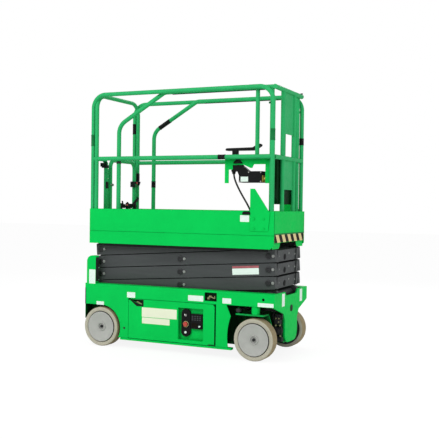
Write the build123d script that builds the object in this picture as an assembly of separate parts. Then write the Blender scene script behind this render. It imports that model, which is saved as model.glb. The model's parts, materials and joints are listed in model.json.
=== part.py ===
"""Electric slab scissor lift with a roll-out deck: chassis, four-level scissor stack and railed platform.

Millimetres. X points to the steered front end, Y to the left side, Z up. The origin is on the floor,
midway between the axles and on the centre plane. Right-hand pieces lie at -Y and are mirrored to the left.
"""
from build123d import *

import os
from math import asin, atan2, cos, degrees, hypot, pi, radians, sin, sqrt, tan

# ---- running gear ----------------------------------------------------------------------------------
WHEEL_RADIUS = 160.0
WHEEL_WIDTH = 100.0
RIM_RADIUS = 130.0               # seat of the tyre
DISC_RADIUS = 116.0              # dished disc, a groove inside the tyre
TYRE_LIP_RADIUS = 150.0          # where the outer side wall starts to slope in to the rim
SPINDLE_RADIUS = 20.0
RUNNING = 0.05                   # radial clearance of pins in their bores
SEAT = 0.3                       # gap of faces that slide or rest on one another

# ---- chassis ---------------------------------------------------------------------------------------
CHASSIS_LENGTH = 1670.0
CHASSIS_WIDTH = 750.0
WHEELBASE = CHASSIS_LENGTH - 324
TRACK = CHASSIS_WIDTH - 70       # between the wheel centre planes
SHEET = 6.0                      # folded sheet of the side frames
GROUND_CLEARANCE = 66.0
SILL_Z = 84.0                    # lower edge of the side frames
BEAM_BOTTOM = 409.0
BEAM_FLANGE = 45.0               # width of the lower flange of a side beam
ARCH_GAP = 18.0                  # rear arch outside the tyre
ARCH_CUT = WHEELBASE / 2 - 211   # rear edge of the front wheel opening at the sill
COLUMN_REAR = ARCH_CUT - 103     # hinge-side edge of the tray opening
OPENING_REAR = 253 - WHEELBASE / 2
SPINE_HALF = 120.0
FRONT_BOX_HALF = 140.0
FRONT_BOX_BOTTOM = 117.0
FRONT_BOX_TOP = 350.0
REAR_BOX_HALF = TRACK / 2 - 65
REAR_BOX_BOTTOM = 110.0
REAR_POST_TOP = 737.0
REAR_POST_WIDTH = 85.0
REAR_POST_INSET = 14.0           # from the rear of the chassis
REAR_POST_DEPTH = 45.0

# ---- steering --------------------------------------------------------------------------------------
KINGPIN_RADIUS = 22.0
KINGPIN_BOSS_RADIUS = 32.0
KNUCKLE_TOP = 349.0
STEER_ARM = 140.0
TIE_ROD_Z = 372.0
TIE_ROD_RADIUS = 12.0
STEER_PIN_RADIUS = 10.0

# ---- swing-out trays -------------------------------------------------------------------------------
DOOR_FRONT = COLUMN_REAR - 12
DOOR_REAR = OPENING_REAR + 4
DOOR_BOTTOM = 87.0
DOOR_TOP = 404.0
HINGE_X = DOOR_FRONT - 22
HINGE_Y = CHASSIS_WIDTH / 2 - 23
HINGE_PIN_RADIUS = 10.0
TRAY_REAR = DOOR_REAR + 42
TRAY_INNER = 132.0
TRAY_FLOOR = 90.3

# ---- scissor stack ---------------------------------------------------------------------------------
LEVELS = 4
ARM_PIN_SPAN = CHASSIS_LENGTH - 170
LEVEL_PITCH = 102.0              # height between the pins of one level when lowered
LOWER_PIN_Z = 480.0
ARM_DEPTH = 95.0
ARM_FRONT_END = 54.0             # from the end pins to the arm's ends
ARM_REAR_END = 38.0
ARM_CORNER = 8.0
LOW_ARM_CORNER = 25.0            # on the lowest arms, beside the chassis
ARM_WIDTH = 42.0
STACK_HALF = CHASSIS_WIDTH / 2 - 89
# distances of an arm's two faces from the centre plane
OUTER_ARM = (STACK_HALF - ARM_WIDTH, STACK_HALF)
INNER_ARM = (STACK_HALF - 2 * ARM_WIDTH - 6, STACK_HALF - ARM_WIDTH - 6)
PIN_RADIUS = 18.0
CROSS_TUBE_RADIUS = 27.0
CROSS_BOX = 88.0                 # square cross members at the free front pins
PIN_HEAD_RADIUS = 27.0
PIN_HEAD = 3.0
PAD_RADIUS = 22.0                # round slide pads at the free ends
PAD_INNER = STACK_HALF + 11
LIFT_MAX_ANGLE = 58.0            # slope of the raised arms

# ---- lift cylinder ---------------------------------------------------------------------------------
BARREL_EYE_FROM_PIN = 0.9 * ARM_PIN_SPAN     # along the lowest inner arm from its front pin
ROD_EYE_FROM_PIN = 0.2 * ARM_PIN_SPAN        # along the third inner arm from its front pin
CYLINDER_EYE_RADIUS = 40.0
CYLINDER_PIN_RADIUS = 22.0
CYLINDER_HALF = 30.0
BARREL_RADIUS = 42.0
BARREL_BORE = 34.0
ROD_RADIUS = 25.0

# ---- platform --------------------------------------------------------------------------------------
REAR_FRAME_X = 68 - CHASSIS_LENGTH / 2       # plane of the gate
PLATFORM_REAR = REAR_FRAME_X - 49
PLATFORM_FRONT = CHASSIS_LENGTH / 2 - 35
PLATFORM_HALF = CHASSIS_WIDTH / 2 - 25
PLATFORM_BOTTOM = 840.0
SEAM_Z = 940.0
FLOOR_Z = 970.0
TOE_TOP = 1124.0
RAIL_RADIUS = 17.0
RAIL_HALF = PLATFORM_HALF - 20
TOP_RAIL_Z = 2060.0
MID_RAIL_Z = 1535.0
RAIL_CORNER = 110.0
RAIL_REAR_X = REAR_FRAME_X - 34.5
RAIL_FRONT_X = PLATFORM_FRONT - 15

# ---- gate ------------------------------------------------------------------------------------------
GATE_TUBE = 17.0
GATE_POST_Y = 140 - RAIL_HALF    # post that carries the hinges
GATE_AXIS_Y = GATE_POST_Y + 30
GATE_HINGE_Y = GATE_AXIS_Y + 39
GATE_LATCH_Y = RAIL_HALF - 58
GATE_STRIP = 28.0                # flat stiles outside the gate's tube
GATE_BOTTOM = 995.0
GATE_CORNER = 60.0

# ---- roll-out deck ---------------------------------------------------------------------------------
DECK_REAR = 235 - CHASSIS_LENGTH / 2
DECK_FRONT = PLATFORM_FRONT + 6
DECK_HALF = RAIL_HALF - 24
DECK_TOP = 985.0
NOSE_BOTTOM = 887.0
INNER_RAIL_RADIUS = 17.5
INNER_CROSS_RADIUS = 18.0        # cross tubes of the front frame
INNER_POST_RADIUS = 17.0         # front posts and mid rails
INNER_SIDE_POST_RADIUS = 16.0
INNER_RAIL_HALF = RAIL_HALF - 40
INNER_RAIL_Z = 2058.0
INNER_REAR_X = DECK_REAR + 22
INNER_KNEE_Z = 1806.0
INNER_KNEE_RADIUS = 115.0
INNER_TOP_X = INNER_REAR_X + 421
INNER_TOP_RADIUS = 70.0
UPPER_SHEET_SHARE = 334 / 523    # of the height between the mid and top rail
INNER_FRONT_X = DECK_FRONT - INNER_CROSS_RADIUS


# ---- shapes ----------------------------------------------------------------------------------------
def block(x0, x1, y0, y1, z0, z1):
    """A box between two corners."""
    return Pos((x0 + x1) / 2, (y0 + y1) / 2, (z0 + z1) / 2) * Box(x1 - x0, y1 - y0, z1 - z0)


def bar_x(y, z, radius, x0, x1):
    """A round bar along X."""
    return Pos((x0 + x1) / 2, y, z) * Rot(0, 90, 0) * Cylinder(radius, x1 - x0)


def bar_y(x, z, radius, y0, y1):
    """A round bar along Y."""
    return Pos(x, (y0 + y1) / 2, z) * Rot(90, 0, 0) * Cylinder(radius, y1 - y0)


def bar_z(x, y, radius, z0, z1):
    """A round bar along Z."""
    return Pos(x, y, (z0 + z1) / 2) * Cylinder(radius, z1 - z0)


def mirrored(part):
    """The same piece on the other side of the centre plane."""
    return mirror(part, about=Plane.XZ)


def on_both_sides(part):
    """A piece and its mirror image, fused."""
    return part + mirrored(part)


def side_slab(face, inner, thickness):
    """A face drawn in X and Z, standing on the right-hand side from `inner` outwards."""
    return extrude(Plane.XZ.offset(inner) * face, thickness)


def front_slab(face, x, thickness):
    """A face drawn in Y and Z, reaching forward from x."""
    return extrude(Plane.YZ.offset(x) * face, thickness)


def tube(points, radius, corners=None):
    """A round bar along straight runs joined by arcs."""
    path = FilletPolyline(*points, radius=corners) if corners else Line(*points)
    start = Plane(origin=path @ 0, z_dir=path % 0)
    return sweep(start * Circle(radius), path=path)


# ---- places worked out from the sizes --------------------------------------------------------------
REST_ANGLE = asin(LEVEL_PITCH / ARM_PIN_SPAN)
PIN_X = ARM_PIN_SPAN * cos(REST_ANGLE) / 2
TOP_PIN_Z = LOWER_PIN_Z + LEVELS * LEVEL_PITCH
CHASSIS_FRONT = CHASSIS_LENGTH / 2
CHASSIS_REAR = -CHASSIS_LENGTH / 2
SIDE_OUTER = CHASSIS_WIDTH / 2
SIDE_INNER = SIDE_OUTER - SHEET
AXLE_FRONT = WHEELBASE / 2
AXLE_REAR = -WHEELBASE / 2
KINGPIN_Y = TRACK / 2
BEAM_TOP = LOWER_PIN_Z + PAD_RADIUS + SEAT + SHEET
TRACK_TOP = LOWER_PIN_Z - PAD_RADIUS - SEAT
TRACK_INNER = OUTER_ARM[1] + PIN_HEAD + SHEET
PAD_OUTER = SIDE_INNER - 31
PAD_TRAVEL = ARM_PIN_SPAN * (cos(REST_ANGLE) - cos(radians(LIFT_MAX_ANGLE)))
TRACK_FRONT = -PIN_X + PAD_TRAVEL + 2 * PAD_RADIUS
DECK_PLATE_TOP = BEAM_BOTTOM + SHEET
FRONT_PLATE_X = CHASSIS_FRONT - 2 * SHEET


# ---- chassis ---------------------------------------------------------------------------------------
def side_frame():
    """Folded side beam with its rear quarter, front column, roller track and kingpin boss."""
    arch = WHEEL_RADIUS + ARCH_GAP
    arch_top = WHEEL_RADIUS + arch
    arch_front = AXLE_REAR + sqrt(arch**2 - (WHEEL_RADIUS - SILL_Z) ** 2)
    arch_mid = arch * sqrt(0.5)
    column_top = COLUMN_REAR + 85
    edge = (
        Polyline(
            (AXLE_REAR, arch_top), (CHASSIS_REAR, arch_top), (CHASSIS_REAR, BEAM_TOP),
            (CHASSIS_FRONT, BEAM_TOP), (CHASSIS_FRONT, BEAM_BOTTOM), (column_top, BEAM_BOTTOM),
            (ARCH_CUT + 20, BEAM_BOTTOM - 85),
        )
        + ThreePointArc((ARCH_CUT + 20, BEAM_BOTTOM - 85), (ARCH_CUT - 8, 175), (ARCH_CUT, SILL_Z))
        + Polyline(
            (ARCH_CUT, SILL_Z), (COLUMN_REAR, SILL_Z), (COLUMN_REAR, DOOR_TOP + 3),
            (OPENING_REAR, DOOR_TOP + 3), (OPENING_REAR, SILL_Z), (arch_front, SILL_Z),
        )
        + ThreePointArc(
            (arch_front, SILL_Z), (AXLE_REAR + arch_mid, WHEEL_RADIUS + arch_mid), (AXLE_REAR, arch_top)
        )
    )
    frame = side_slab(make_face(edge), SIDE_INNER, SHEET)
    frame += block(CHASSIS_REAR, FRONT_PLATE_X, -SIDE_INNER, -TRACK_INNER, BEAM_TOP - SHEET, BEAM_TOP)
    frame += block(CHASSIS_REAR, TRACK_FRONT, -SIDE_INNER, -TRACK_INNER, TRACK_TOP - SHEET, TRACK_TOP)
    flange_inner = SIDE_OUTER - BEAM_FLANGE
    frame += block(CHASSIS_REAR, FRONT_PLATE_X, -SIDE_INNER, -flange_inner, BEAM_BOTTOM, DECK_PLATE_TOP)
    frame += bar_z(HINGE_X, -HINGE_Y, SIDE_INNER - HINGE_Y, DOOR_TOP - 4, BEAM_BOTTOM)
    frame -= bar_z(HINGE_X, -HINGE_Y, HINGE_PIN_RADIUS + RUNNING, DOOR_TOP - 4, DECK_PLATE_TOP)
    boss_top = TRACK_TOP - 8
    frame += bar_z(AXLE_FRONT, -KINGPIN_Y, KINGPIN_BOSS_RADIUS, KNUCKLE_TOP + SEAT, boss_top)
    frame -= bar_z(AXLE_FRONT, -KINGPIN_Y, KINGPIN_RADIUS + RUNNING, KNUCKLE_TOP, boss_top)
    frame -= bar_y(AXLE_FRONT + 72, LOWER_PIN_Z - 15, 11, -SIDE_OUTER, -SIDE_INNER)
    latch = RectangleRounded(104, 66, 6)
    frame -= side_slab(Pos(HINGE_X - 13, BEAM_TOP - 47) * latch, SIDE_INNER, SHEET)
    return frame


def chassis_frame():
    """Deck sheet, centre spine, rear axle box and front steering box, with the rear wheel spindles."""
    front = FRONT_PLATE_X
    rear = CHASSIS_REAR + SHEET
    flange_inner = SIDE_OUTER - BEAM_FLANGE
    spine_rear = OPENING_REAR - 80
    spine_front = AXLE_FRONT - WHEEL_RADIUS - 23
    frame = block(rear, front, -flange_inner, flange_inner, BEAM_BOTTOM, DECK_PLATE_TOP)
    wall = 8.0
    for half, x0, x1, z0, z1 in (
        (SPINE_HALF, spine_rear, spine_front, GROUND_CLEARANCE, BEAM_BOTTOM),
        (REAR_BOX_HALF, rear, spine_rear, REAR_BOX_BOTTOM, BEAM_BOTTOM),
        (FRONT_BOX_HALF, spine_front, front, FRONT_BOX_BOTTOM, FRONT_BOX_TOP),
    ):
        frame += on_both_sides(block(x0, x1, -half, wall - half, z0, z1))
        frame += block(x0, x1, -half, half, z0, z0 + wall)
    frame += block(spine_front, front, -FRONT_BOX_HALF, FRONT_BOX_HALF, FRONT_BOX_TOP - wall, FRONT_BOX_TOP)
    frame += block(spine_front - wall, spine_front, -FRONT_BOX_HALF, FRONT_BOX_HALF, GROUND_CLEARANCE,
                   BEAM_BOTTOM)
    frame += block(spine_rear, spine_rear + wall, -REAR_BOX_HALF, REAR_BOX_HALF, GROUND_CLEARANCE,
                   BEAM_BOTTOM)
    rear_wall = block(CHASSIS_REAR, rear, -REAR_BOX_HALF, REAR_BOX_HALF, REAR_BOX_BOTTOM, DECK_PLATE_TOP)
    arch_top = 2 * WHEEL_RADIUS + ARCH_GAP
    rear_wall += block(CHASSIS_REAR, rear, -flange_inner, flange_inner, arch_top, DECK_PLATE_TOP)
    rear_wall += block(CHASSIS_REAR, rear, -SIDE_INNER, SIDE_INNER, arch_top, BEAM_BOTTOM)
    for step_z in (235.0, 335.0):
        rear_wall -= front_slab(Pos(0, step_z) * RectangleRounded(330, 60, 20), CHASSIS_REAR, SHEET)
    frame += rear_wall
    for x0, x1 in ((HINGE_X - 28, COLUMN_REAR + 16), (OPENING_REAR - 20, OPENING_REAR + 75)):
        frame += block(x0, x1, -SIDE_INNER, SIDE_INNER, SILL_Z, TRAY_FLOOR - SEAT)
    frame -= on_both_sides(bar_z(HINGE_X, -HINGE_Y, HINGE_PIN_RADIUS + RUNNING, SILL_Z, TRAY_FLOOR))
    frame -= on_both_sides(bar_z(AXLE_FRONT, -KINGPIN_Y, KINGPIN_BOSS_RADIUS, BEAM_BOTTOM, DECK_PLATE_TOP))
    spindle = bar_y(AXLE_REAR, WHEEL_RADIUS, SPINDLE_RADIUS, -KINGPIN_Y, -REAR_BOX_HALF)
    spindle += bar_y(AXLE_REAR, WHEEL_RADIUS, 45, -REAR_BOX_HALF - 9, -REAR_BOX_HALF)
    frame += on_both_sides(spindle)
    return frame


def front_plate():
    """Front cross plate: full width at the top, a rounded tongue in front of the steering box."""
    shoulder = FRONT_BOX_HALF + 35
    tongue_bottom = FRONT_BOX_BOTTOM - 5
    outline = Polyline(
        (-SIDE_INNER, BEAM_TOP), (-150, BEAM_TOP), (-115, BEAM_TOP - 32), (115, BEAM_TOP - 32),
        (150, BEAM_TOP), (SIDE_INNER, BEAM_TOP), (SIDE_INNER, BEAM_BOTTOM - 5), (shoulder, 345),
        (FRONT_BOX_HALF, 290), (FRONT_BOX_HALF, tongue_bottom), (-FRONT_BOX_HALF, tongue_bottom),
        (-FRONT_BOX_HALF, 290), (-shoulder, 345), (-SIDE_INNER, BEAM_BOTTOM - 5), close=True,
    )
    face = make_face(outline)
    face = fillet([v for v in face.vertices() if v.Y < tongue_bottom + 1], 75)
    plate = front_slab(face, FRONT_PLATE_X, 2 * SHEET)
    plate -= front_slab(Pos(0, 370) * Rot(0, 0, 90) * SlotOverall(44, 22), FRONT_PLATE_X, 2 * SHEET)
    return plate


def front_pivot_bracket():
    """Two ears on the deck sheet with the shaft of the fixed lower scissor pins."""
    radius = 38.0
    ear = Polyline((PIN_X - radius, LOWER_PIN_Z), (PIN_X - 48, DECK_PLATE_TOP), (PIN_X + 48, DECK_PLATE_TOP),
                   (PIN_X + radius, LOWER_PIN_Z))
    ear += ThreePointArc((PIN_X + radius, LOWER_PIN_Z), (PIN_X, LOWER_PIN_Z + radius),
                         (PIN_X - radius, LOWER_PIN_Z))
    ears = on_both_sides(side_slab(make_face(ear), OUTER_ARM[0], 2 * SHEET))
    reach = OUTER_ARM[0] + 2 * SHEET
    return ears + bar_y(PIN_X, LOWER_PIN_Z, PIN_RADIUS, -reach, reach)


def rear_post():
    """Open channel standing on the side beam at the rear corner."""
    x0 = CHASSIS_REAR + REAR_POST_INSET
    x1 = x0 + REAR_POST_WIDTH
    face = Pos((x0 + x1) / 2, (BEAM_TOP + REAR_POST_TOP) / 2) * Rectangle(x1 - x0, REAR_POST_TOP - BEAM_TOP)
    face = fillet(face.vertices().sort_by(Axis.Y)[-2:].sort_by(Axis.X)[0:1], 48)
    post = side_slab(face, SIDE_OUTER - REAR_POST_DEPTH, REAR_POST_DEPTH)
    hollow = Pos((x0 + x1) / 2, (BEAM_TOP + REAR_POST_TOP) / 2) * RectangleRounded(
        REAR_POST_WIDTH - 2 * SHEET, REAR_POST_TOP - BEAM_TOP - 2 * SHEET, 24)
    return post - side_slab(hollow, SIDE_OUTER - REAR_POST_DEPTH, REAR_POST_DEPTH - SHEET)


def ladder():
    """Rungs between the rear posts, tied by two flat stiles."""
    inner = SIDE_OUTER - REAR_POST_DEPTH
    x = CHASSIS_REAR + 12
    rungs = [bar_y(x, z, 11, -inner, inner) for z in (BEAM_TOP + 62, BEAM_TOP + 172)]
    stile = block(CHASSIS_REAR, CHASSIS_REAR + SHEET, -178, -148, DECK_PLATE_TOP, REAR_POST_TOP - 30)
    return rungs[0] + rungs[1] + on_both_sides(stile)


# ---- swing-out trays -------------------------------------------------------------------------------
CONTROL_RECESS = (HINGE_X - 292, HINGE_X - 73, 112.0, 362.0)     # x0, x1, z0, z1
SWITCH_X = HINGE_X - 231


def tray_door(with_controls):
    """Sheet door with rounded upper corners, a handle pocket and, on one side, the control recess."""
    x_mid = (DOOR_REAR + DOOR_FRONT) / 2
    z_mid = (DOOR_BOTTOM + DOOR_TOP) / 2
    face = Pos(x_mid, z_mid) * Rectangle(DOOR_FRONT - DOOR_REAR, DOOR_TOP - DOOR_BOTTOM)
    face = fillet(face.vertices().sort_by(Axis.Y)[-2:], 26)
    door_inner = SIDE_INNER + 2
    door = side_slab(face, door_inner, SHEET)
    notch_rear = HINGE_X - 30
    door -= block(notch_rear, DOOR_FRONT, -door_inner - SHEET, -door_inner, DOOR_BOTTOM, TRAY_FLOOR + 5)
    pocket = Polyline((DOOR_REAR + 10, 398), (DOOR_REAR + 125, 398), (DOOR_REAR + 125, 357), close=True)
    door -= side_slab(make_face(pocket), door_inner, SHEET)
    cup = Polyline((DOOR_REAR + 6, 402), (DOOR_REAR + 130, 402), (DOOR_REAR + 130, 350), (DOOR_REAR + 6, 392),
                   close=True)
    door += side_slab(make_face(cup), door_inner - 22, 22) - side_slab(make_face(pocket), door_inner - 18, 18)
    if with_controls:
        x0, x1, z0, z1 = CONTROL_RECESS
        opening = Pos((x0 + x1) / 2, (z0 + z1) / 2) * RectangleRounded(x1 - x0, z1 - z0, 8)
        cup = Pos((x0 + x1) / 2, (z0 + z1) / 2) * RectangleRounded(x1 - x0 + 6, z1 - z0 + 6, 11)
        door -= side_slab(opening, door_inner, SHEET)
        door += side_slab(cup, door_inner - 30, 30) - side_slab(opening, door_inner - 27, 27)
    return door


def tray():
    """Open tray behind the door, turning on its hinge pin."""
    outer = SIDE_INNER + 2
    front = HINGE_X - 12
    wall = 4.0
    rim = TRAY_FLOOR + 64
    body = block(TRAY_REAR, front, -outer, -TRAY_INNER, TRAY_FLOOR, TRAY_FLOOR + wall)
    body += block(TRAY_REAR, front, -TRAY_INNER - wall, -TRAY_INNER, TRAY_FLOOR, rim)
    body += block(TRAY_REAR, TRAY_REAR + wall, -outer + 40, -TRAY_INNER, TRAY_FLOOR, rim)
    body += block(front - wall, front, -outer + 40, -TRAY_INNER, TRAY_FLOOR, rim)
    body += block(front - 30, HINGE_X, -HINGE_Y - 5, -HINGE_Y + 5, TRAY_FLOOR, DOOR_TOP - 60)
    body += bar_z(HINGE_X, -HINGE_Y, HINGE_PIN_RADIUS + 5, TRAY_FLOOR, DOOR_TOP - 30)
    body += bar_z(HINGE_X, -HINGE_Y, HINGE_PIN_RADIUS, SILL_Z, BEAM_BOTTOM)
    body += block(front - 30, front - 26, -outer, -HINGE_Y, TRAY_FLOOR, DOOR_TOP - 60)
    return body


def hydraulic_unit():
    """Oil tank, motor and valve block standing in the right tray."""
    z0 = TRAY_FLOOR + 4
    x0 = TRAY_REAR + 29
    x1 = HINGE_X - 285
    outer = TRAY_INNER + 193
    tank_end = x0 + 0.585 * (x1 - x0)
    tank = block(x0, tank_end, -outer, -outer + 165, z0, z0 + 190)
    tank = fillet(tank.edges().filter_by(Axis.Z), 18)
    motor = bar_x(90 - outer, z0 + 95, 58, tank_end, x1)
    valve = block(x1, x1 + 70, 35 - outer, 145 - outer, z0, z0 + 150)
    foot = block(tank_end, x1, 65 - outer, 115 - outer, z0, z0 + 40)
    return tank + motor + valve + foot


def battery_pack():
    """Block of drive batteries standing in the left tray."""
    z0 = TRAY_FLOOR + 4
    x0 = TRAY_REAR + 24
    x1 = HINGE_X - 165
    inner = TRAY_INNER + 33
    pack = block(x0, x1, inner, inner + 165, z0, z0 + 215)
    for share in (0.25, 0.5, 0.75):
        x = x0 + share * (x1 - x0)
        pack -= block(x - 1.5, x + 1.5, inner, inner + 165, z0 + 150, z0 + 215)
    charger = block(x1 + 25, x1 + 130, inner + 5, inner + 155, z0, z0 + 150)
    return pack + charger + block(x1, x1 + 25, inner + 35, inner + 125, z0, z0 + 30)


def ground_controls():
    """Switch plate with rounded ends and the display and key block, in the door's recess."""
    face_y = SIDE_INNER + 2 - 27
    pill = Pos(SWITCH_X, 245) * Rot(0, 0, 90) * SlotOverall(216, 78)
    plate = side_slab(pill, face_y, 16)
    plate += side_slab(Pos(SWITCH_X + 95, 260) * RectangleRounded(100, 116, 8), face_y, 20)
    plate += side_slab(Pos(SWITCH_X + 46, 250) * Rectangle(20, 60), face_y, 8)
    plate += side_slab(Pos(SWITCH_X + 128, 226) * Circle(9), face_y + 20, 9)
    return plate


def ground_emergency_stop():
    """Mushroom button on the switch plate."""
    face_y = SIDE_INNER + 2 - 11
    button = side_slab(Pos(SWITCH_X, 234) * Circle(8), face_y, 8)
    return button + side_slab(Pos(SWITCH_X, 234) * Circle(19), face_y + 8, 9)


def pothole_guard():
    """Bar under the tray with two guide plates behind the side frame."""
    front = ARCH_CUT + 25
    rear = AXLE_REAR + WHEEL_RADIUS + 18
    bar = block(rear, front, -SIDE_OUTER + 1, -KINGPIN_Y + 10, GROUND_CLEARANCE, SILL_Z - 2)
    outer = SIDE_INNER - SEAT
    for x0, x1 in ((COLUMN_REAR + 22, COLUMN_REAR + 82), (OPENING_REAR - 75, OPENING_REAR - 25)):
        bar += block(x0, x1, -outer, -outer + SHEET, SILL_Z - 2, 300)
    return bar


# ---- steering and wheels ---------------------------------------------------------------------------
def knuckle():
    """Kingpin, top plate over the tyre, inner side plate, front web, spindle and steering arm."""
    top_bottom = KNUCKLE_TOP - 12
    side_outer = KINGPIN_Y - WHEEL_WIDTH / 2 - 16
    side_inner = side_outer - 12
    top = Pos(AXLE_FRONT, -(side_inner + KINGPIN_Y + 30) / 2) * Rectangle(150, KINGPIN_Y + 30 - side_inner)
    top += Pos(AXLE_FRONT - STEER_ARM, -KINGPIN_Y) * Circle(24)
    top += make_face(Polyline((AXLE_FRONT - 60, -KINGPIN_Y + 40), (AXLE_FRONT - 60, -KINGPIN_Y - 24),
                              (AXLE_FRONT - STEER_ARM, -KINGPIN_Y - 24),
                              (AXLE_FRONT - STEER_ARM, -KINGPIN_Y + 24), close=True))
    body = extrude(Pos(0, 0, top_bottom) * top, KNUCKLE_TOP - top_bottom)
    side = Polyline((AXLE_FRONT - 75, KNUCKLE_TOP), (AXLE_FRONT - 75, WHEEL_RADIUS))
    side += ThreePointArc((AXLE_FRONT - 75, WHEEL_RADIUS), (AXLE_FRONT, WHEEL_RADIUS - 75),
                          (AXLE_FRONT + 75, WHEEL_RADIUS))
    side += Polyline((AXLE_FRONT + 75, WHEEL_RADIUS), (AXLE_FRONT + 112, 232), (AXLE_FRONT + 75, KNUCKLE_TOP),
                     (AXLE_FRONT - 75, KNUCKLE_TOP))
    body += side_slab(make_face(side), side_inner, side_outer - side_inner)
    body += bar_z(AXLE_FRONT, -KINGPIN_Y, KINGPIN_RADIUS, KNUCKLE_TOP, TRACK_TOP - 12)
    body += bar_z(AXLE_FRONT - STEER_ARM, -KINGPIN_Y, STEER_PIN_RADIUS, KNUCKLE_TOP, TIE_ROD_Z + 18)
    body += bar_y(AXLE_FRONT, WHEEL_RADIUS, SPINDLE_RADIUS, -KINGPIN_Y, -side_outer)
    return body + bar_y(AXLE_FRONT, WHEEL_RADIUS, 45, -side_outer - 9, -side_outer)


def drive_motor():
    """Wheel motor with its ribbed end cap on the inner side plate."""
    outer = KINGPIN_Y - WHEEL_WIDTH / 2 - 28
    motor = bar_y(AXLE_FRONT, WHEEL_RADIUS, 55, -outer, -outer + 40)
    return motor + bar_y(AXLE_FRONT, WHEEL_RADIUS, 46, -outer + 40, -outer + 64)


def tie_rod():
    """Rod between the two steering arms, an eye round each pin."""
    x = AXLE_FRONT - STEER_ARM
    rod = bar_y(x, TIE_ROD_Z, TIE_ROD_RADIUS, -KINGPIN_Y, KINGPIN_Y)
    rod += on_both_sides(bar_z(x, -KINGPIN_Y, 22, TIE_ROD_Z - 12, TIE_ROD_Z + 12))
    return rod - on_both_sides(bar_z(x, -KINGPIN_Y, STEER_PIN_RADIUS + RUNNING, KNUCKLE_TOP, TIE_ROD_Z + 20))


def rim():
    """Turned rim: tyre seat, deep groove, shallow dished disc and hub with its nut. Axis along +Y."""
    half = WHEEL_WIDTH / 2
    profile = Polyline(
        (SPINDLE_RADIUS + RUNNING, -10), (48, -10), (54, 4), (DISC_RADIUS - 4, 4),
        (DISC_RADIUS - 4, -half + 6), (RIM_RADIUS, -half + 6), (RIM_RADIUS, half - 34),
        (DISC_RADIUS, half - 34), (DISC_RADIUS, half - 3), (DISC_RADIUS - 3, half - 1),
        (DISC_RADIUS - 12, half - 2), (78, half - 9), (38, half - 17), (35, half - 10), (27, half - 10),
        (25, half - 20), (0, half - 20), (0, 2), (SPINDLE_RADIUS + RUNNING, 2),
        close=True,
    )
    nut = extrude(Pos(0, 0, half - 20) * RegularPolygon(15, 6), 12)
    turned = revolve(Plane.XZ * make_face(profile), axis=Axis.Z)
    return Rot(-90, 0, 0) * (turned + nut)


def tyre():
    """Solid tyre with rounded shoulders, its outer side sloping in to the rim. Axis along +Y."""
    half = WHEEL_WIDTH / 2
    outline = Polyline((RIM_RADIUS, -half), (WHEEL_RADIUS, -half), (WHEEL_RADIUS, half),
                       (TYRE_LIP_RADIUS, half), (RIM_RADIUS, half - 22), close=True)
    profile = make_face(outline)
    profile = fillet(profile.vertices().sort_by(Axis.X)[-2:], 8)
    return Rot(-90, 0, 0) * revolve(Plane.XZ * profile, axis=Axis.Z)


# ---- scissor stack ---------------------------------------------------------------------------------
def arm_face(rear_corner, front_corner):
    """Side view of one arm, lying along X about its centre pin."""
    shift = (ARM_FRONT_END - ARM_REAR_END) / 2
    face = Pos(shift, 0) * Rectangle(ARM_PIN_SPAN + ARM_FRONT_END + ARM_REAR_END, ARM_DEPTH)
    face = fillet(face.vertices().sort_by(Axis.X)[:2], rear_corner)
    return fillet(face.vertices().sort_by(Axis.X)[-2:], front_corner)


def top_arm_face():
    """The same arm with its front end rounded about the pin, to turn behind the nose of the deck."""
    half = ARM_PIN_SPAN / 2
    square_end = Pos(half + ARM_FRONT_END / 2, 0) * Rectangle(ARM_FRONT_END, ARM_DEPTH)
    face = arm_face(ARM_CORNER, ARM_CORNER) - square_end
    return face + Pos(half, 0) * Circle(ARM_DEPTH / 2)


def level_centre(level):
    """Height of the centre pin of a level, counted from 1."""
    return LOWER_PIN_Z + (level - 0.5) * LEVEL_PITCH


def arm_pair(face, faces):
    """Both arms of one frame, in the arm's own axes."""
    inner, outer = faces
    return on_both_sides(side_slab(face, inner, outer - inner))


def slide_pad(x):
    """Axle and round pad at the free end of a frame, reaching out from the inner arm's face."""
    pad = bar_y(x, 0, PIN_RADIUS - 2, -PAD_OUTER, -INNER_ARM[1])
    return on_both_sides(pad + bar_y(x, 0, PAD_RADIUS, -PAD_OUTER, -PAD_INNER))


def inner_arms(level):
    """Inner frame of a level, rising to the rear: two arms tied by the tubes that hold the end pins."""
    half = ARM_PIN_SPAN / 2
    frame = arm_pair(arm_face(ARM_CORNER, LOW_ARM_CORNER if level == 1 else ARM_CORNER), INNER_ARM)
    frame += bar_y(-half, 0, CROSS_TUBE_RADIUS, -INNER_ARM[0], INNER_ARM[0])
    if level == 1:
        frame += bar_y(half, 0, CROSS_TUBE_RADIUS, -INNER_ARM[0], INNER_ARM[0])
    else:
        reach = CROSS_BOX / 2
        frame += block(half - reach, half + reach, -INNER_ARM[0], INNER_ARM[0], -reach, reach)
    bores = [0, half] if level == LEVELS else [-half, 0, half]
    for x in bores:
        frame -= bar_y(x, 0, PIN_RADIUS + RUNNING, -INNER_ARM[1], INNER_ARM[1])
    if level == LEVELS:
        frame += slide_pad(-half)
    if level == 1:
        x = half - BARREL_EYE_FROM_PIN
        frame += bar_y(x, 0, CYLINDER_PIN_RADIUS, -INNER_ARM[0], INNER_ARM[0])
    if level == 3:
        frame += rod_eye_lugs(half - ROD_EYE_FROM_PIN)
    return Pos(0, 0, level_centre(level)) * Rot(0, degrees(REST_ANGLE), 0) * frame


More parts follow.
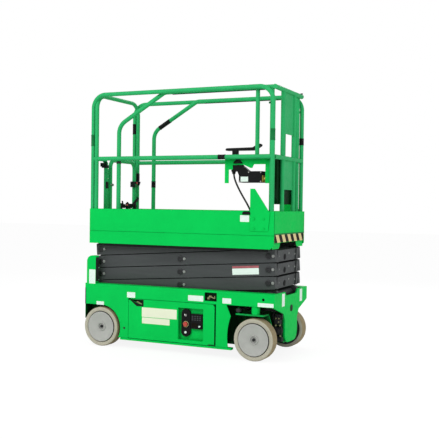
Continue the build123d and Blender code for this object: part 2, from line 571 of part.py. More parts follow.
def rod_eye_lugs(x):
    """Cross tube behind the rod's eye, with a lug each side of the eye."""
    tube_x = x - 62
    tube_z = 46.0
    cross = bar_y(tube_x, tube_z, CYLINDER_PIN_RADIUS, -INNER_ARM[0], INNER_ARM[0])
    lug = Polyline((x + 26, 20), (tube_x + 8, tube_z + 18), (tube_x - 22, tube_z), (x - 10, -32),
                   (x + 26, -24), close=True)
    gap = CYLINDER_HALF + 5
    return cross + on_both_sides(side_slab(make_face(lug), gap, 14))


def outer_arms(level):
    """Outer frame of a level, rising to the front, with its centre stubs, end shafts and pin heads."""
    half = ARM_PIN_SPAN / 2
    rear_corner = LOW_ARM_CORNER if level == 1 else ARM_CORNER
    frame = arm_pair(top_arm_face() if level == LEVELS else arm_face(rear_corner, ARM_CORNER), OUTER_ARM)
    ends = [-half] if level == LEVELS else [-half, half]
    for x in ends:
        frame += bar_y(x, 0, PIN_RADIUS, -OUTER_ARM[0], OUTER_ARM[0])
    frame += on_both_sides(bar_y(0, 0, PIN_RADIUS, -OUTER_ARM[0], -INNER_ARM[0]))
    for x in ends[1 if level == 1 else 0:] + [0]:
        frame += on_both_sides(pin_head(x))
    if level == 1:
        frame += slide_pad_outer(-half)
    if level == LEVELS:
        frame -= bar_y(half, 0, PIN_RADIUS + RUNNING, -OUTER_ARM[1], OUTER_ARM[1])
    return Pos(0, 0, level_centre(level)) * Rot(0, -degrees(REST_ANGLE), 0) * frame


def slide_pad_outer(x):
    """Axle end and round pad outside the lowest outer arms."""
    pad = bar_y(x, 0, PIN_RADIUS - 2, -PAD_OUTER, -OUTER_ARM[1])
    return on_both_sides(pad + bar_y(x, 0, PAD_RADIUS, -PAD_OUTER, -PAD_INNER))


def pin_head(x):
    """Round retaining plate with its keeper tab on an outer arm."""
    head = side_slab(Pos(x, 0) * Circle(PIN_HEAD_RADIUS), OUTER_ARM[1], PIN_HEAD)
    tab = Pos(x + 26, 0) * RectangleRounded(44, 26, 8)
    return head + side_slab(tab, OUTER_ARM[1], PIN_HEAD)


# ---- lift cylinder ---------------------------------------------------------------------------------
def on_inner_arm(level, from_pin):
    """X and Z of a point on an inner arm's centre line, at a distance from its front pin."""
    z_pin = LOWER_PIN_Z + (level - 1) * LEVEL_PITCH
    return PIN_X - from_pin * cos(REST_ANGLE), z_pin + from_pin * sin(REST_ANGLE)


BARREL_EYE = on_inner_arm(1, BARREL_EYE_FROM_PIN)
ROD_EYE = on_inner_arm(3, ROD_EYE_FROM_PIN)
CYLINDER_LENGTH = hypot(ROD_EYE[0] - BARREL_EYE[0], ROD_EYE[1] - BARREL_EYE[1])
CYLINDER_SLOPE = atan2(ROD_EYE[1] - BARREL_EYE[1], ROD_EYE[0] - BARREL_EYE[0])
BARREL_END = CYLINDER_LENGTH - 80


def along_cylinder(part):
    """Place a piece drawn along +X from the barrel's eye."""
    return Pos(BARREL_EYE[0], 0, BARREL_EYE[1]) * Rot(0, -degrees(CYLINDER_SLOPE), 0) * part


def lift_cylinder_barrel():
    """Barrel with its eye round the cross pin and a gland nut round the rod."""
    barrel = bar_x(0, 0, BARREL_RADIUS, 36, BARREL_END)
    barrel += bar_x(0, 0, BARREL_RADIUS + 6, BARREL_END - 40, BARREL_END)
    barrel += bar_y(0, 0, CYLINDER_EYE_RADIUS, -CYLINDER_HALF, CYLINDER_HALF)
    barrel -= bar_x(0, 0, BARREL_BORE, 60, BARREL_END - 25)
    barrel -= bar_x(0, 0, ROD_RADIUS + RUNNING, 60, BARREL_END)
    barrel -= bar_y(0, 0, CYLINDER_PIN_RADIUS + RUNNING, -CYLINDER_HALF, CYLINDER_HALF)
    return along_cylinder(barrel)


def lift_cylinder_rod():
    """Rod with its piston and an eye with its pin."""
    rod = bar_x(0, 0, ROD_RADIUS, 75, CYLINDER_LENGTH)
    rod += bar_x(0, 0, BARREL_BORE - RUNNING, 75, 105)
    rod += bar_y(CYLINDER_LENGTH, 0, CYLINDER_EYE_RADIUS - 8, -CYLINDER_HALF, CYLINDER_HALF)
    return along_cylinder(rod)


# ---- platform --------------------------------------------------------------------------------------
def platform_frame():
    """Floor on side channels, with the upper slide tracks and the ears of the fixed upper pins."""
    x1 = PLATFORM_FRONT
    wall = 6.0
    web = Polyline((PLATFORM_REAR, PLATFORM_BOTTOM), (x1 - 18, PLATFORM_BOTTOM),
                   (x1 + 12, PLATFORM_BOTTOM + 28), (x1 + 12, SEAM_Z), (PLATFORM_REAR, SEAM_Z), close=True)
    side = side_slab(make_face(web), PLATFORM_HALF - wall, wall)
    track_top = TOP_PIN_Z - PAD_RADIUS - SEAT
    keeper = TOP_PIN_Z + PAD_RADIUS + SEAT
    track_front = TRACK_FRONT
    web_inner = PLATFORM_HALF - wall
    side += block(PLATFORM_REAR, track_front, -web_inner, -TRACK_INNER, track_top - wall, track_top)
    side += block(PLATFORM_REAR, x1, -web_inner, -TRACK_INNER, keeper, keeper + wall)
    side += block(PLATFORM_REAR, x1, -TRACK_INNER - wall, -TRACK_INNER, keeper, SEAM_Z)
    ear_radius = 38.0
    ear = Polyline((PIN_X - ear_radius, TOP_PIN_Z), (PIN_X - ear_radius, SEAM_Z),
                   (PIN_X + ear_radius, SEAM_Z), (PIN_X + ear_radius, TOP_PIN_Z))
    ear += ThreePointArc((PIN_X + ear_radius, TOP_PIN_Z), (PIN_X, TOP_PIN_Z - ear_radius),
                         (PIN_X - ear_radius, TOP_PIN_Z))
    side += side_slab(make_face(ear), TRACK_INNER, 12)
    side += bar_y(PIN_X, TOP_PIN_Z, PIN_RADIUS, -TRACK_INNER - 12, -OUTER_ARM[0])
    side += block(PLATFORM_REAR, x1, -PLATFORM_HALF + wall / 2, -TRACK_INNER, SEAM_Z - wall, SEAM_Z + 18)
    frame = on_both_sides(side)
    for x in (PLATFORM_REAR, -270.0, 260.0, x1 - 40):
        frame += block(x, x + 40, -TRACK_INNER, TRACK_INNER, FLOOR_Z - 12, FLOOR_Z - 4)
    return frame + block(PLATFORM_REAR, x1, -web_inner, web_inner, FLOOR_Z - 12, FLOOR_Z)


def toe_board_side():
    """Upright side sheet from the seam to the toe-board's top, with the stiffening gusset at the front."""
    x1 = PLATFORM_FRONT + 12
    board = block(PLATFORM_REAR, x1, -PLATFORM_HALF, -PLATFORM_HALF + 3, SEAM_Z + 3, TOE_TOP)
    rear = PLATFORM_FRONT - 180
    gusset = Polyline((rear, 974), (rear + 146, 974), (rear + 159, 1112), (rear + 36, 1292), (rear, 1292),
                      close=True)
    return board + side_slab(make_face(gusset), PLATFORM_HALF, 5)


def toe_board_rear():
    """Rear sheet on each side of the gate."""
    web_inner = RAIL_HALF - RAIL_RADIUS
    x0 = REAR_FRAME_X - RAIL_RADIUS - 3
    right = block(x0, x0 + 3, -web_inner, GATE_AXIS_Y - 14, FLOOR_Z, TOE_TOP)
    left = block(x0, x0 + 3, GATE_LATCH_Y + GATE_TUBE + 6, web_inner, FLOOR_Z, TOE_TOP)
    return right + left + block(x0, x0 + 3, -web_inner, web_inner, FLOOR_Z, FLOOR_Z + 15)


def guard_rail():
    """Side rail bent from one tube, with its mid rail."""
    y = -RAIL_HALF
    hoop = tube([(RAIL_REAR_X, y, FLOOR_Z), (RAIL_REAR_X, y, TOP_RAIL_Z), (RAIL_FRONT_X, y, TOP_RAIL_Z),
                 (RAIL_FRONT_X, y, FLOOR_Z)], RAIL_RADIUS, RAIL_CORNER)
    hoop += bar_x(y, MID_RAIL_Z, RAIL_RADIUS, RAIL_REAR_X, RAIL_FRONT_X)
    return hoop - rear_guard_rail()


def rear_guard_rail():
    """Rear frame bent from one tube, with the gate's hinge post and a short mid rail."""
    hoop = tube([(REAR_FRAME_X, -RAIL_HALF, FLOOR_Z), (REAR_FRAME_X, -RAIL_HALF, TOP_RAIL_Z),
                 (REAR_FRAME_X, RAIL_HALF, TOP_RAIL_Z), (REAR_FRAME_X, RAIL_HALF, FLOOR_Z)],
                RAIL_RADIUS, RAIL_CORNER)
    post = tube([(REAR_FRAME_X, GATE_POST_Y, FLOOR_Z), (REAR_FRAME_X, GATE_POST_Y, MID_RAIL_Z),
                 (REAR_FRAME_X, -RAIL_HALF, MID_RAIL_Z)], RAIL_RADIUS, 50)
    frame = hoop + post
    for z in GATE_HINGE_Z:
        frame += bar_z(REAR_FRAME_X, GATE_AXIS_Y, 9, z, z + 40)
        frame += block(REAR_FRAME_X - 4, REAR_FRAME_X + 4, GATE_POST_Y, GATE_AXIS_Y, z + 4, z + 36)
        frame += bar_z(REAR_FRAME_X, GATE_AXIS_Y, 5, z + 40, z + 78)
    return frame


GATE_HINGE_Z = (1040.0, 1380.0)


def gate():
    """Half-height gate: an arched tube with a toe sheet and two hinge eyes."""
    hoop = tube([(REAR_FRAME_X, GATE_HINGE_Y, GATE_BOTTOM), (REAR_FRAME_X, GATE_HINGE_Y, MID_RAIL_Z),
                 (REAR_FRAME_X, GATE_LATCH_Y, MID_RAIL_Z), (REAR_FRAME_X, GATE_LATCH_Y, GATE_BOTTOM)],
                GATE_TUBE, GATE_CORNER)
    x0 = REAR_FRAME_X - 2
    x1 = REAR_FRAME_X + 2
    hoop += block(x0, x1, GATE_HINGE_Y, GATE_LATCH_Y, GATE_BOTTOM, TOE_TOP)
    top = MID_RAIL_Z - GATE_CORNER
    hoop += block(x0, x1, GATE_HINGE_Y - GATE_STRIP, GATE_HINGE_Y, GATE_HINGE_Z[0] + 84, GATE_HINGE_Z[1] + 34)
    hoop += block(x0, x1, GATE_HINGE_Y - GATE_STRIP, GATE_HINGE_Y, GATE_HINGE_Z[1] + 84, top)
    hoop += block(x0, x1, GATE_LATCH_Y, GATE_LATCH_Y + GATE_STRIP, TOE_TOP + 8, top)
    for z in GATE_HINGE_Z:
        eye = bar_z(REAR_FRAME_X, GATE_AXIS_Y, 9, z + 40 + SEAT, z + 78)
        eye += block(REAR_FRAME_X - 4, REAR_FRAME_X + 4, GATE_AXIS_Y, GATE_HINGE_Y, z + 44, z + 74)
        hoop += eye
        hoop -= bar_z(REAR_FRAME_X, GATE_AXIS_Y, 5 + RUNNING, z + 40, z + 78)
    return hoop


def gate_latch():
    """Latch housing on the rear frame's left post."""
    inner = GATE_LATCH_Y + GATE_STRIP + SEAT
    body = block(REAR_FRAME_X - 16, REAR_FRAME_X + 22, inner, RAIL_HALF, 1375, 1440)
    return body - bar_z(REAR_FRAME_X, RAIL_HALF, RAIL_RADIUS, 1370, 1445)


# ---- roll-out deck ---------------------------------------------------------------------------------
def extension_deck():
    """Inner deck sheet with its nose and front toe-board."""
    deck = block(DECK_REAR, DECK_FRONT, -DECK_HALF, DECK_HALF, FLOOR_Z + SEAT, DECK_TOP)
    half = PLATFORM_HALF - 12
    deck += block(DECK_FRONT, DECK_FRONT + 6, -half, half, NOSE_BOTTOM, TOE_TOP)
    deck += block(DECK_FRONT - 5, DECK_FRONT + 6, -half, half, NOSE_BOTTOM, NOSE_BOTTOM + 6)
    return deck


def extension_front_frame():
    """Front frame of the inner rails: two cross tubes with open ends, two posts and their sheets."""
    x = INNER_FRONT_X
    half = INNER_RAIL_HALF + INNER_CROSS_RADIUS
    frame = bar_y(x, INNER_RAIL_Z, INNER_CROSS_RADIUS, -half, half)
    frame += bar_y(x, MID_RAIL_Z, INNER_CROSS_RADIUS, -half, half)
    for y in (-125.0, 125.0):
        frame += bar_z(x, y, INNER_POST_RADIUS, DECK_TOP, INNER_RAIL_Z)
    upper = INNER_RAIL_Z - UPPER_SHEET_SHARE * (INNER_RAIL_Z - MID_RAIL_Z)
    for z0, z1 in ((upper, INNER_RAIL_Z - 14), (MID_RAIL_Z - 243, MID_RAIL_Z + 16)):
        frame += block(x - 2, x + 2, -125, 125, z0, z1)
    return frame


def extension_rail():
    """Side rail of the inner deck: upright, slope and top rail bent from one tube, two posts and mid rail."""
    y = -INNER_RAIL_HALF
    rail = tube([(INNER_REAR_X, y, DECK_TOP), (INNER_REAR_X, y, INNER_KNEE_Z), (INNER_TOP_X, y, INNER_RAIL_Z),
                 (INNER_FRONT_X, y, INNER_RAIL_Z)], INNER_RAIL_RADIUS, [INNER_KNEE_RADIUS, INNER_TOP_RADIUS])
    rail += bar_x(y, MID_RAIL_Z, INNER_POST_RADIUS, INNER_REAR_X, INNER_FRONT_X)
    rail += bar_z(INNER_FRONT_X - 143, y, INNER_SIDE_POST_RADIUS, MID_RAIL_Z, INNER_RAIL_Z)
    rail += bar_z(INNER_FRONT_X - 26, y, INNER_SIDE_POST_RADIUS, DECK_TOP, INNER_RAIL_Z)
    return rail - extension_front_frame()


def manual_box():
    """Document box with a rounded bottom behind the front frame."""
    face = Pos(0, (1178 + 1527) / 2) * Rectangle(390, 1527 - 1178)
    face = fillet(face.vertices().sort_by(Axis.Y)[:2], 50)
    x1 = INNER_FRONT_X - INNER_POST_RADIUS
    return front_slab(face, x1 - 50, 50)


def control_bracket():
    """Sheet cradle hanging from the inner mid rail behind the controls."""
    x = INNER_FRONT_X - 788
    y0 = -INNER_RAIL_HALF + INNER_RAIL_RADIUS + 4
    top = MID_RAIL_Z + 10
    low = MID_RAIL_Z - 199
    plate = Polyline((x + 369, low), (x + 402, low), (x + 402, top - 105), (x + 435, top - 105),
                     (x + 435, top - 69), (x + 530, top - 69), (x + 582, top - 93), (x + 597, top - 93),
                     (x + 612, top - 65), (x + 705, top - 65), (x + 705, low), (x + 765, low),
                     (x + 770, top), (x + 369, top), close=True)
    body = side_slab(make_face(plate), -y0 - 4, 4)
    for ring_x in (x + 410, x + 700):
        body += bar_x(-INNER_RAIL_HALF, MID_RAIL_Z, INNER_POST_RADIUS + 3, ring_x - 14, ring_x + 14)
        body += block(ring_x - 14, ring_x + 14, -INNER_RAIL_HALF, y0 + 4, MID_RAIL_Z - 12, MID_RAIL_Z + 9)
    body -= bar_x(-INNER_RAIL_HALF, MID_RAIL_Z, INNER_POST_RADIUS + RUNNING, x + 380, x + 780)
    outer = INNER_RAIL_HALF + INNER_CROSS_RADIUS
    return body - block(x + 380, x + 780, -RAIL_HALF, -outer, low, top)


def control_box():
    """Platform control box with its joystick gaiter, lower housing and arm rest."""
    x = INNER_FRONT_X - 788
    y0 = -INNER_RAIL_HALF + INNER_RAIL_RADIUS + 8
    depth = 44.0
    outer = -y0 - depth
    base = MID_RAIL_Z - 99
    box = Polyline((x + 486, base - 94), (x + 676, base - 94), (x + 676, base - 8), (x + 555, base - 8),
                   (x + 486, base - 36), close=True)
    body = side_slab(make_face(box), -y0 - 105, 105)
    housing = Polyline((x + 421, base - 9), (x + 472, base - 9), (x + 490, base - 50), (x + 570, base - 9),
                       (x + 560, base), (x + 505, base + 42), (x + 427, base + 42), close=True)
    body += side_slab(make_face(housing), outer, depth)
    body += block(x + 436, x + 524, y0, y0 + depth + 6, base + 42, base + 50)
    gaiter = Polyline((x + 426, base + 50), (x + 530, base + 50), (x + 496, base + 109),
                      (x + 451, base + 109), close=True)
    body += side_slab(make_face(gaiter), outer, depth)
    body += block(x + 427, x + 469, y0, y0 + 34, base + 80, base + 154)
    rest = Polyline((x + 371, base + 152), (x + 601, base + 152), (x + 654, base + 186),
                    (x + 654, base + 198), (x + 596, base + 166), (x + 371, base + 166), close=True)
    return body + side_slab(make_face(rest), -y0 - 60, 60)


# out of the lower housing, down past the corner of the box and straight down to the deck
CONTROL_CABLE = (
    (433, -240, 1427), (433, -240, 1396), (446, -240, 1354), (467, -240, 1310), (493, -240, 1264),
    (522, -240, 1218), (552, -240, 1172), (580, -240, 1119), (600, -240, 1056), (600, -240, 985),
)
CABLE_RADIUS = 7.0


def cord_corners(points):
    """Largest even arcs for a cord: 0.45 of the shorter run over the tangent of half the turn."""
    vectors = [Vector(*b) - Vector(*a) for a, b in zip(points, points[1:])]
    corners = []
    for before, after in zip(vectors, vectors[1:]):
        half_turn = radians(before.get_angle(after)) / 2
        corners.append(0.45 * min(before.length, after.length) / tan(half_turn))
    return corners


def control_cable():
    """Cable hanging from the control box to the deck."""
    corners = cord_corners(CONTROL_CABLE)
    print("cable radii", [round(r) for r in corners])
    cable = tube(list(CONTROL_CABLE), CABLE_RADIUS, corners)
    length = FilletPolyline(*CONTROL_CABLE, radius=corners).length
    ratio = cable.volume / (length * pi * CABLE_RADIUS**2)
    print("cable length", round(length), "volume ratio", round(ratio, 4))
    return cable


# ---- all nodes -------------------------------------------------------------------------------------
def wheel_nodes():
    """Rims and tyres at the four corners, the domed side outwards."""
    nodes = {}
    for end, x in (("front", AXLE_FRONT), ("rear", AXLE_REAR)):
        for side, sign in (("right", -1), ("left", 1)):
            turn = Rot(0, 0, 0) if sign > 0 else Rot(0, 0, 180)
            place = Pos(x, sign * KINGPIN_Y, WHEEL_RADIUS) * turn
            nodes[f"rim_{end}_{side}"] = place * rim()
            nodes[f"tyre_{end}_{side}"] = place * tyre()
    return nodes


def sided_nodes():
    """Pieces drawn on the right and mirrored to the left."""
    makers = {
        "side_frame": side_frame(), "rear_post": rear_post(), "tray": tray(),
        "pothole_guard": pothole_guard(), "knuckle": knuckle(), "drive_motor": drive_motor(),
        "toe_board": toe_board_side(), "guard_rail": guard_rail(), "extension_rail": extension_rail(),
    }
    nodes = {}
    for name, part in makers.items():
        nodes[f"{name}_right"] = part
        nodes[f"{name}_left"] = mirrored(part)
    nodes["tray_door_right"] = tray_door(True)
    nodes["tray_door_left"] = mirrored(tray_door(False))
    return nodes


def all_nodes():
    """Every node of the machine by name."""
    nodes = {
        "chassis_frame": chassis_frame(), "front_plate": front_plate(),
        "front_pivot_bracket": front_pivot_bracket(), "ladder": ladder(), "hydraulic_unit": hydraulic_unit(),
        "battery_pack": battery_pack(), "ground_controls": ground_controls(),
        "ground_emergency_stop": ground_emergency_stop(), "tie_rod": tie_rod(),
        "lift_cylinder_barrel": lift_cylinder_barrel(), "lift_cylinder_rod": lift_cylinder_rod(),
        "platform_frame": platform_frame(), "toe_board_rear": toe_board_rear(),
        "rear_guard_rail": rear_guard_rail(), "gate": gate(), "gate_latch": gate_latch(),
        "extension_deck": extension_deck(), "extension_front_frame": extension_front_frame(),
        "manual_box": manual_box(), "control_bracket": control_bracket(), "control_box": control_box(),
        "control_cable": control_cable(),
    }
    for level in range(1, LEVELS + 1):
        nodes[f"inner_arms_{level}"] = inner_arms(level)
        nodes[f"outer_arms_{level}"] = outer_arms(level)
    nodes.update(sided_nodes())
    nodes.update(wheel_nodes())
    return nodes


os.makedirs("parts", exist_ok=True)
for node_name, node_part in all_nodes().items():
    export_step(node_part, f"parts/{node_name}.step")
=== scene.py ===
import json
import math

import bmesh
import bpy
from mathutils import Matrix, Vector


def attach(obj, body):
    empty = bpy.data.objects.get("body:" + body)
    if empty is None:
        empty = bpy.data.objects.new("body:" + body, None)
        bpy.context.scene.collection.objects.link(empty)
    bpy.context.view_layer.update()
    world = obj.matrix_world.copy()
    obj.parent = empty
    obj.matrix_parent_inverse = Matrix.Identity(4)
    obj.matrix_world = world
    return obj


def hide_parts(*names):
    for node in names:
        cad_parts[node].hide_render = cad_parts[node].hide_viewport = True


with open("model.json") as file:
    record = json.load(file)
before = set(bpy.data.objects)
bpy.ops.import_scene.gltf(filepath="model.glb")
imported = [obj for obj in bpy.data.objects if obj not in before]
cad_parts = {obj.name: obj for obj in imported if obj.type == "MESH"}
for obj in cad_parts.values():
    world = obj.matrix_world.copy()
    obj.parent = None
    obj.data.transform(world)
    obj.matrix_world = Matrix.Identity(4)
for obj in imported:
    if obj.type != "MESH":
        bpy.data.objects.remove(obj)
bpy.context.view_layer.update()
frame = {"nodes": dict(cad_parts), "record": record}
nodes = frame["nodes"]


# ---- shapes ----------------------------------------------------------------------------------------
def axis_matrix(point, axis):
    """Local +Z along the axis, origin at the point."""
    turn = Vector(axis).normalized().to_track_quat("Z", "Y").to_matrix().to_4x4()
    return Matrix.Translation(Vector(point)) @ turn


def box(bm, x0, x1, y0, y1, z0, z1):
    centre = Matrix.Translation(((x0 + x1) / 2, (y0 + y1) / 2, (z0 + z1) / 2))
    size = Matrix.Diagonal((abs(x1 - x0), abs(y1 - y0), abs(z1 - z0), 1))
    bmesh.ops.create_cube(bm, size=1, matrix=centre @ size)


def rod(bm, point, axis, radius, length, segments=24, end_radius=None):
    """Round bar from the point along the axis."""
    place = axis_matrix(point, axis) @ Matrix.Translation((0, 0, length / 2))
    bmesh.ops.create_cone(bm, cap_ends=True, segments=segments, radius1=radius,
                          radius2=radius if end_radius is None else end_radius, depth=length, matrix=place)


def lathe(bm, profile, point, axis, segments):
    """Closed or open profile of (radius, height) turned about the axis."""
    place = axis_matrix(point, axis)
    rings = []
    for radius, height in profile:
        if radius < 1e-6:
            rings.append([bm.verts.new(place @ Vector((0, 0, height)))])
            continue
        ring = []
        for i in range(segments):
            a = 2 * math.pi * i / segments
            ring.append(bm.verts.new(place @ Vector((radius * math.cos(a), radius * math.sin(a), height))))
        rings.append(ring)
    for low, high in zip(rings, rings[1:]):
        for i in range(segments):
            j = (i + 1) % segments
            if len(low) == 1:
                bm.faces.new((low[0], high[j], high[i]))
            elif len(high) == 1:
                bm.faces.new((low[i], low[j], high[0]))
            else:
                bm.faces.new((low[i], low[j], high[j], high[i]))


def prism(bm, outline, place, depth):
    """Outline of (u, v) points in the plane of `place`, extruded along its +Z."""
    low = [bm.verts.new(place @ Vector((u, v, 0))) for u, v in outline]
    high = [bm.verts.new(place @ Vector((u, v, depth))) for u, v in outline]
    bm.faces.new(list(reversed(low)))
    bm.faces.new(high)
    n = len(outline)
    for i in range(n):
        j = (i + 1) % n
        bm.faces.new((low[i], low[j], high[j], high[i]))


def rounded(width, height, radius, steps=3):
    """Outline of a rounded rectangle about the origin."""
    points = []
    for cx, cy, start in ((1, 1, 0), (-1, 1, 90), (-1, -1, 180), (1, -1, 270)):
        for i in range(steps + 1):
            a = math.radians(start + 90 * i / steps)
            points.append((cx * (width / 2 - radius) + radius * math.cos(a),
                           cy * (height / 2 - radius) + radius * math.sin(a)))
    return points


def side_place(sign, x, y, z):
    """Plane on a side face: u to the right as seen from outside, v up, depth outwards."""
    u = Vector((1, 0, 0)) * (-sign)
    v = Vector((0, 0, 1))
    n = Vector((0, sign, 0))
    m = Matrix((u, v, n)).transposed().to_4x4()
    m.translation = (x, y, z)
    return m


def front_place(x, y, z):
    """Plane on a front face: u along +Y, v up, depth towards +X."""
    m = Matrix((Vector((0, 1, 0)), Vector((0, 0, 1)), Vector((1, 0, 0)))).transposed().to_4x4()
    m.translation = (x, y, z)
    return m


def bolt(bm, point, axis, radius, height):
    """Washer and hexagon head standing on a face."""
    rod(bm, point, axis, radius * 1.35, height * 0.3, 20)
    start = Vector(point) + Vector(axis).normalized() * height * 0.3
    rod(bm, start, axis, radius, height * 0.75, 6, radius * 0.94)


def piece(name, body, mat, build, bevel=0.0, replaced=()):
    """Make one mesh object from a function that fills a bmesh."""
    bm = bmesh.new()
    build(bm)
    bmesh.ops.recalc_face_normals(bm, faces=bm.faces[:])
    mesh = bpy.data.meshes.new(name)
    bm.to_mesh(mesh)
    bm.free()
    for polygon in mesh.polygons:
        polygon.use_smooth = True
    mesh.set_sharp_from_angle(angle=math.radians(35))
    mesh.materials.append(mat)
    made = bpy.data.objects.new(name, mesh)
    bpy.context.scene.collection.objects.link(made)
    if bevel:
        modifier = made.modifiers.new("edges", "BEVEL")
        modifier.width = bevel
        modifier.segments = 2
        modifier.limit_method = "ANGLE"
        modifier.angle_limit = math.radians(40)
        modifier.harden_normals = False
    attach(made, body)
    if replaced:
        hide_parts(*replaced)
    return made


# ---- materials -------------------------------------------------------------------------------------
def srgb(*values):
    """Linear colour of 8-bit screen values."""
    return tuple(((v / 255 + 0.055) / 1.055) ** 2.4 if v > 10 else v / 255 / 12.92 for v in values) + (1.0,)


def scaled(colour, factor):
    return tuple(min(1.0, c * factor) for c in colour[:3]) + (1.0,)


class Graph:
    """Short names for the nodes of one material."""

    def __init__(self, name):
        self.mat = bpy.data.materials.new(name)
        self.mat.use_nodes = True
        self.tree = self.mat.node_tree
        self.bsdf = self.tree.nodes["Principled BSDF"]
        self.place = self.tree.nodes.new("ShaderNodeTexCoord").outputs["Object"]

    def link(self, a, b):
        self.tree.links.new(a, b)

    def noise(self, scale, detail=3.0, rough=0.5, stretch=None):
        node = self.tree.nodes.new("ShaderNodeTexNoise")
        node.inputs["Scale"].default_value = scale
        node.inputs["Detail"].default_value = detail
        node.inputs["Roughness"].default_value = rough
        source = self.place
        if stretch:
            mapping = self.tree.nodes.new("ShaderNodeMapping")
            mapping.inputs["Scale"].default_value = stretch
            self.link(self.place, mapping.inputs["Vector"])
            source = mapping.outputs["Vector"]
        self.link(source, node.inputs["Vector"])
        return node.outputs["Fac"]

    def remap(self, value, a, b, c, d):
        node = self.tree.nodes.new("ShaderNodeMapRange")
        self.link(value, node.inputs["Value"])
        for socket, number in zip(("From Min", "From Max", "To Min", "To Max"), (a, b, c, d)):
            node.inputs[socket].default_value = number
        return node.outputs["Result"]

    def mix(self, factor, a, b):
        node = self.tree.nodes.new("ShaderNodeMix")
        node.data_type = "RGBA"
        self.link(factor, node.inputs["Factor"])
        for socket, value in ((node.inputs[6], a), (node.inputs[7], b)):
            if isinstance(value, tuple):
                socket.default_value = value
            else:
                self.link(value, socket)
        return node.outputs[2]

    def math(self, operation, a, b):
        node = self.tree.nodes.new("ShaderNodeMath")
        node.operation = operation
        for socket, value in zip(node.inputs, (a, b)):
            if isinstance(value, (int, float)):
                socket.default_value = value
            else:
                self.link(value, socket)
        return node.outputs["Value"]

    def edges(self, width, low, high):
        """1 near sharp edges, 0 elsewhere."""
        bevel = self.tree.nodes.new("ShaderNodeBevel")
        bevel.samples = 4
        bevel.inputs["Radius"].default_value = width
        geometry = self.tree.nodes.new("ShaderNodeNewGeometry")
        dot = self.tree.nodes.new("ShaderNodeVectorMath")
        dot.operation = "DOT_PRODUCT"
        self.link(bevel.outputs["Normal"], dot.inputs[0])
        self.link(geometry.outputs["Normal"], dot.inputs[1])
        return self.remap(dot.outputs["Value"], high, low, 0.0, 1.0)

    def creases(self, distance):
        """1 in the open, 0 deep in a crease; the finishes use it to paint shade into creases."""
        node = self.tree.nodes.new("ShaderNodeAmbientOcclusion")
        node.samples = 6
        node.inputs["Distance"].default_value = distance
        return node.outputs["AO"]

    def bump(self, height, strength, distance):
        node = self.tree.nodes.new("ShaderNodeBump")
        node.inputs["Strength"].default_value = strength
        node.inputs["Distance"].default_value = distance
        self.link(height, node.inputs["Height"])
        self.link(node.outputs["Normal"], self.bsdf.inputs["Normal"])


def finish_material(name, colour, rough, tint=0.08, tint_scale=5.0, metallic=0.0, specular=0.5,
                    rough_spread=0.1, grain=0.15, grain_scale=420.0, grain_depth=0.0004, crease=0.0,
                    crease_size=0.03, wear=None, coat=0.0, stretch=None, shade=0.18):
    """A finish with uneven colour and gloss, surface grain, painted shade in creases and worn edges."""
    g = Graph(name)
    g.bsdf.inputs["Metallic"].default_value = metallic
    g.bsdf.inputs["Specular IOR Level"].default_value = specular
    if coat:
        g.bsdf.inputs["Coat Weight"].default_value = coat
        g.bsdf.inputs["Coat Roughness"].default_value = 0.12
    broad = g.remap(g.noise(tint_scale, 5.0, 0.6, stretch), 0.3, 0.7, 0.0, 1.0)
    result = g.mix(broad, scaled(colour, 1 - tint), scaled(colour, 1 + tint))
    # painted shade: ambient occlusion darkens creases and hollows towards a dark copy of the colour
    if crease:
        crease_shade_amount = g.remap(g.creases(crease_size), 0.15, 0.85, crease, 0.0)
        result = g.mix(crease_shade_amount, result, scaled(colour, shade))
    if wear:
        near_edge = g.edges(0.0022, 0.86, 0.99)
        patchy = g.remap(g.noise(38.0, 6.0, 0.7), 0.52, 0.66, 0.0, 0.8)
        result = g.mix(g.math("MULTIPLY", near_edge, patchy), result, wear)
    g.link(result, g.bsdf.inputs["Base Color"])
    g.link(g.remap(g.noise(tint_scale * 7, 4.0), 0.3, 0.7, rough - rough_spread, rough + rough_spread),
           g.bsdf.inputs["Roughness"])
    g.bump(g.noise(grain_scale, 2.0), grain, grain_depth)
    return g.mat


GREEN = srgb(0, 206, 86)
PANEL = finish_material("green_gloss_paint", GREEN, 0.52, tint=0.05, grain=0.12, grain_scale=260.0,
                        crease=0.75, crease_size=0.03, wear=srgb(20, 110, 50), specular=0.07)
# painted shade: a darker copy of the panel green with deep occlusion shade, for surfaces that lie in shade
SHADED_GREEN = finish_material("green_paint_in_shade", srgb(0, 168, 74), 0.5, tint=0.08, grain=0.12,
                         grain_scale=260.0, crease=1.0, crease_size=0.4, wear=srgb(20, 110, 50),
                         specular=0.15, shade=0.04)
TUBE = finish_material("green_tube_paint", srgb(42, 179, 104), 0.5, tint=0.08, grain=0.15,
                       grain_scale=300.0, crease=0.5, crease_size=0.02, wear=srgb(20, 110, 60),
                       specular=0.14)
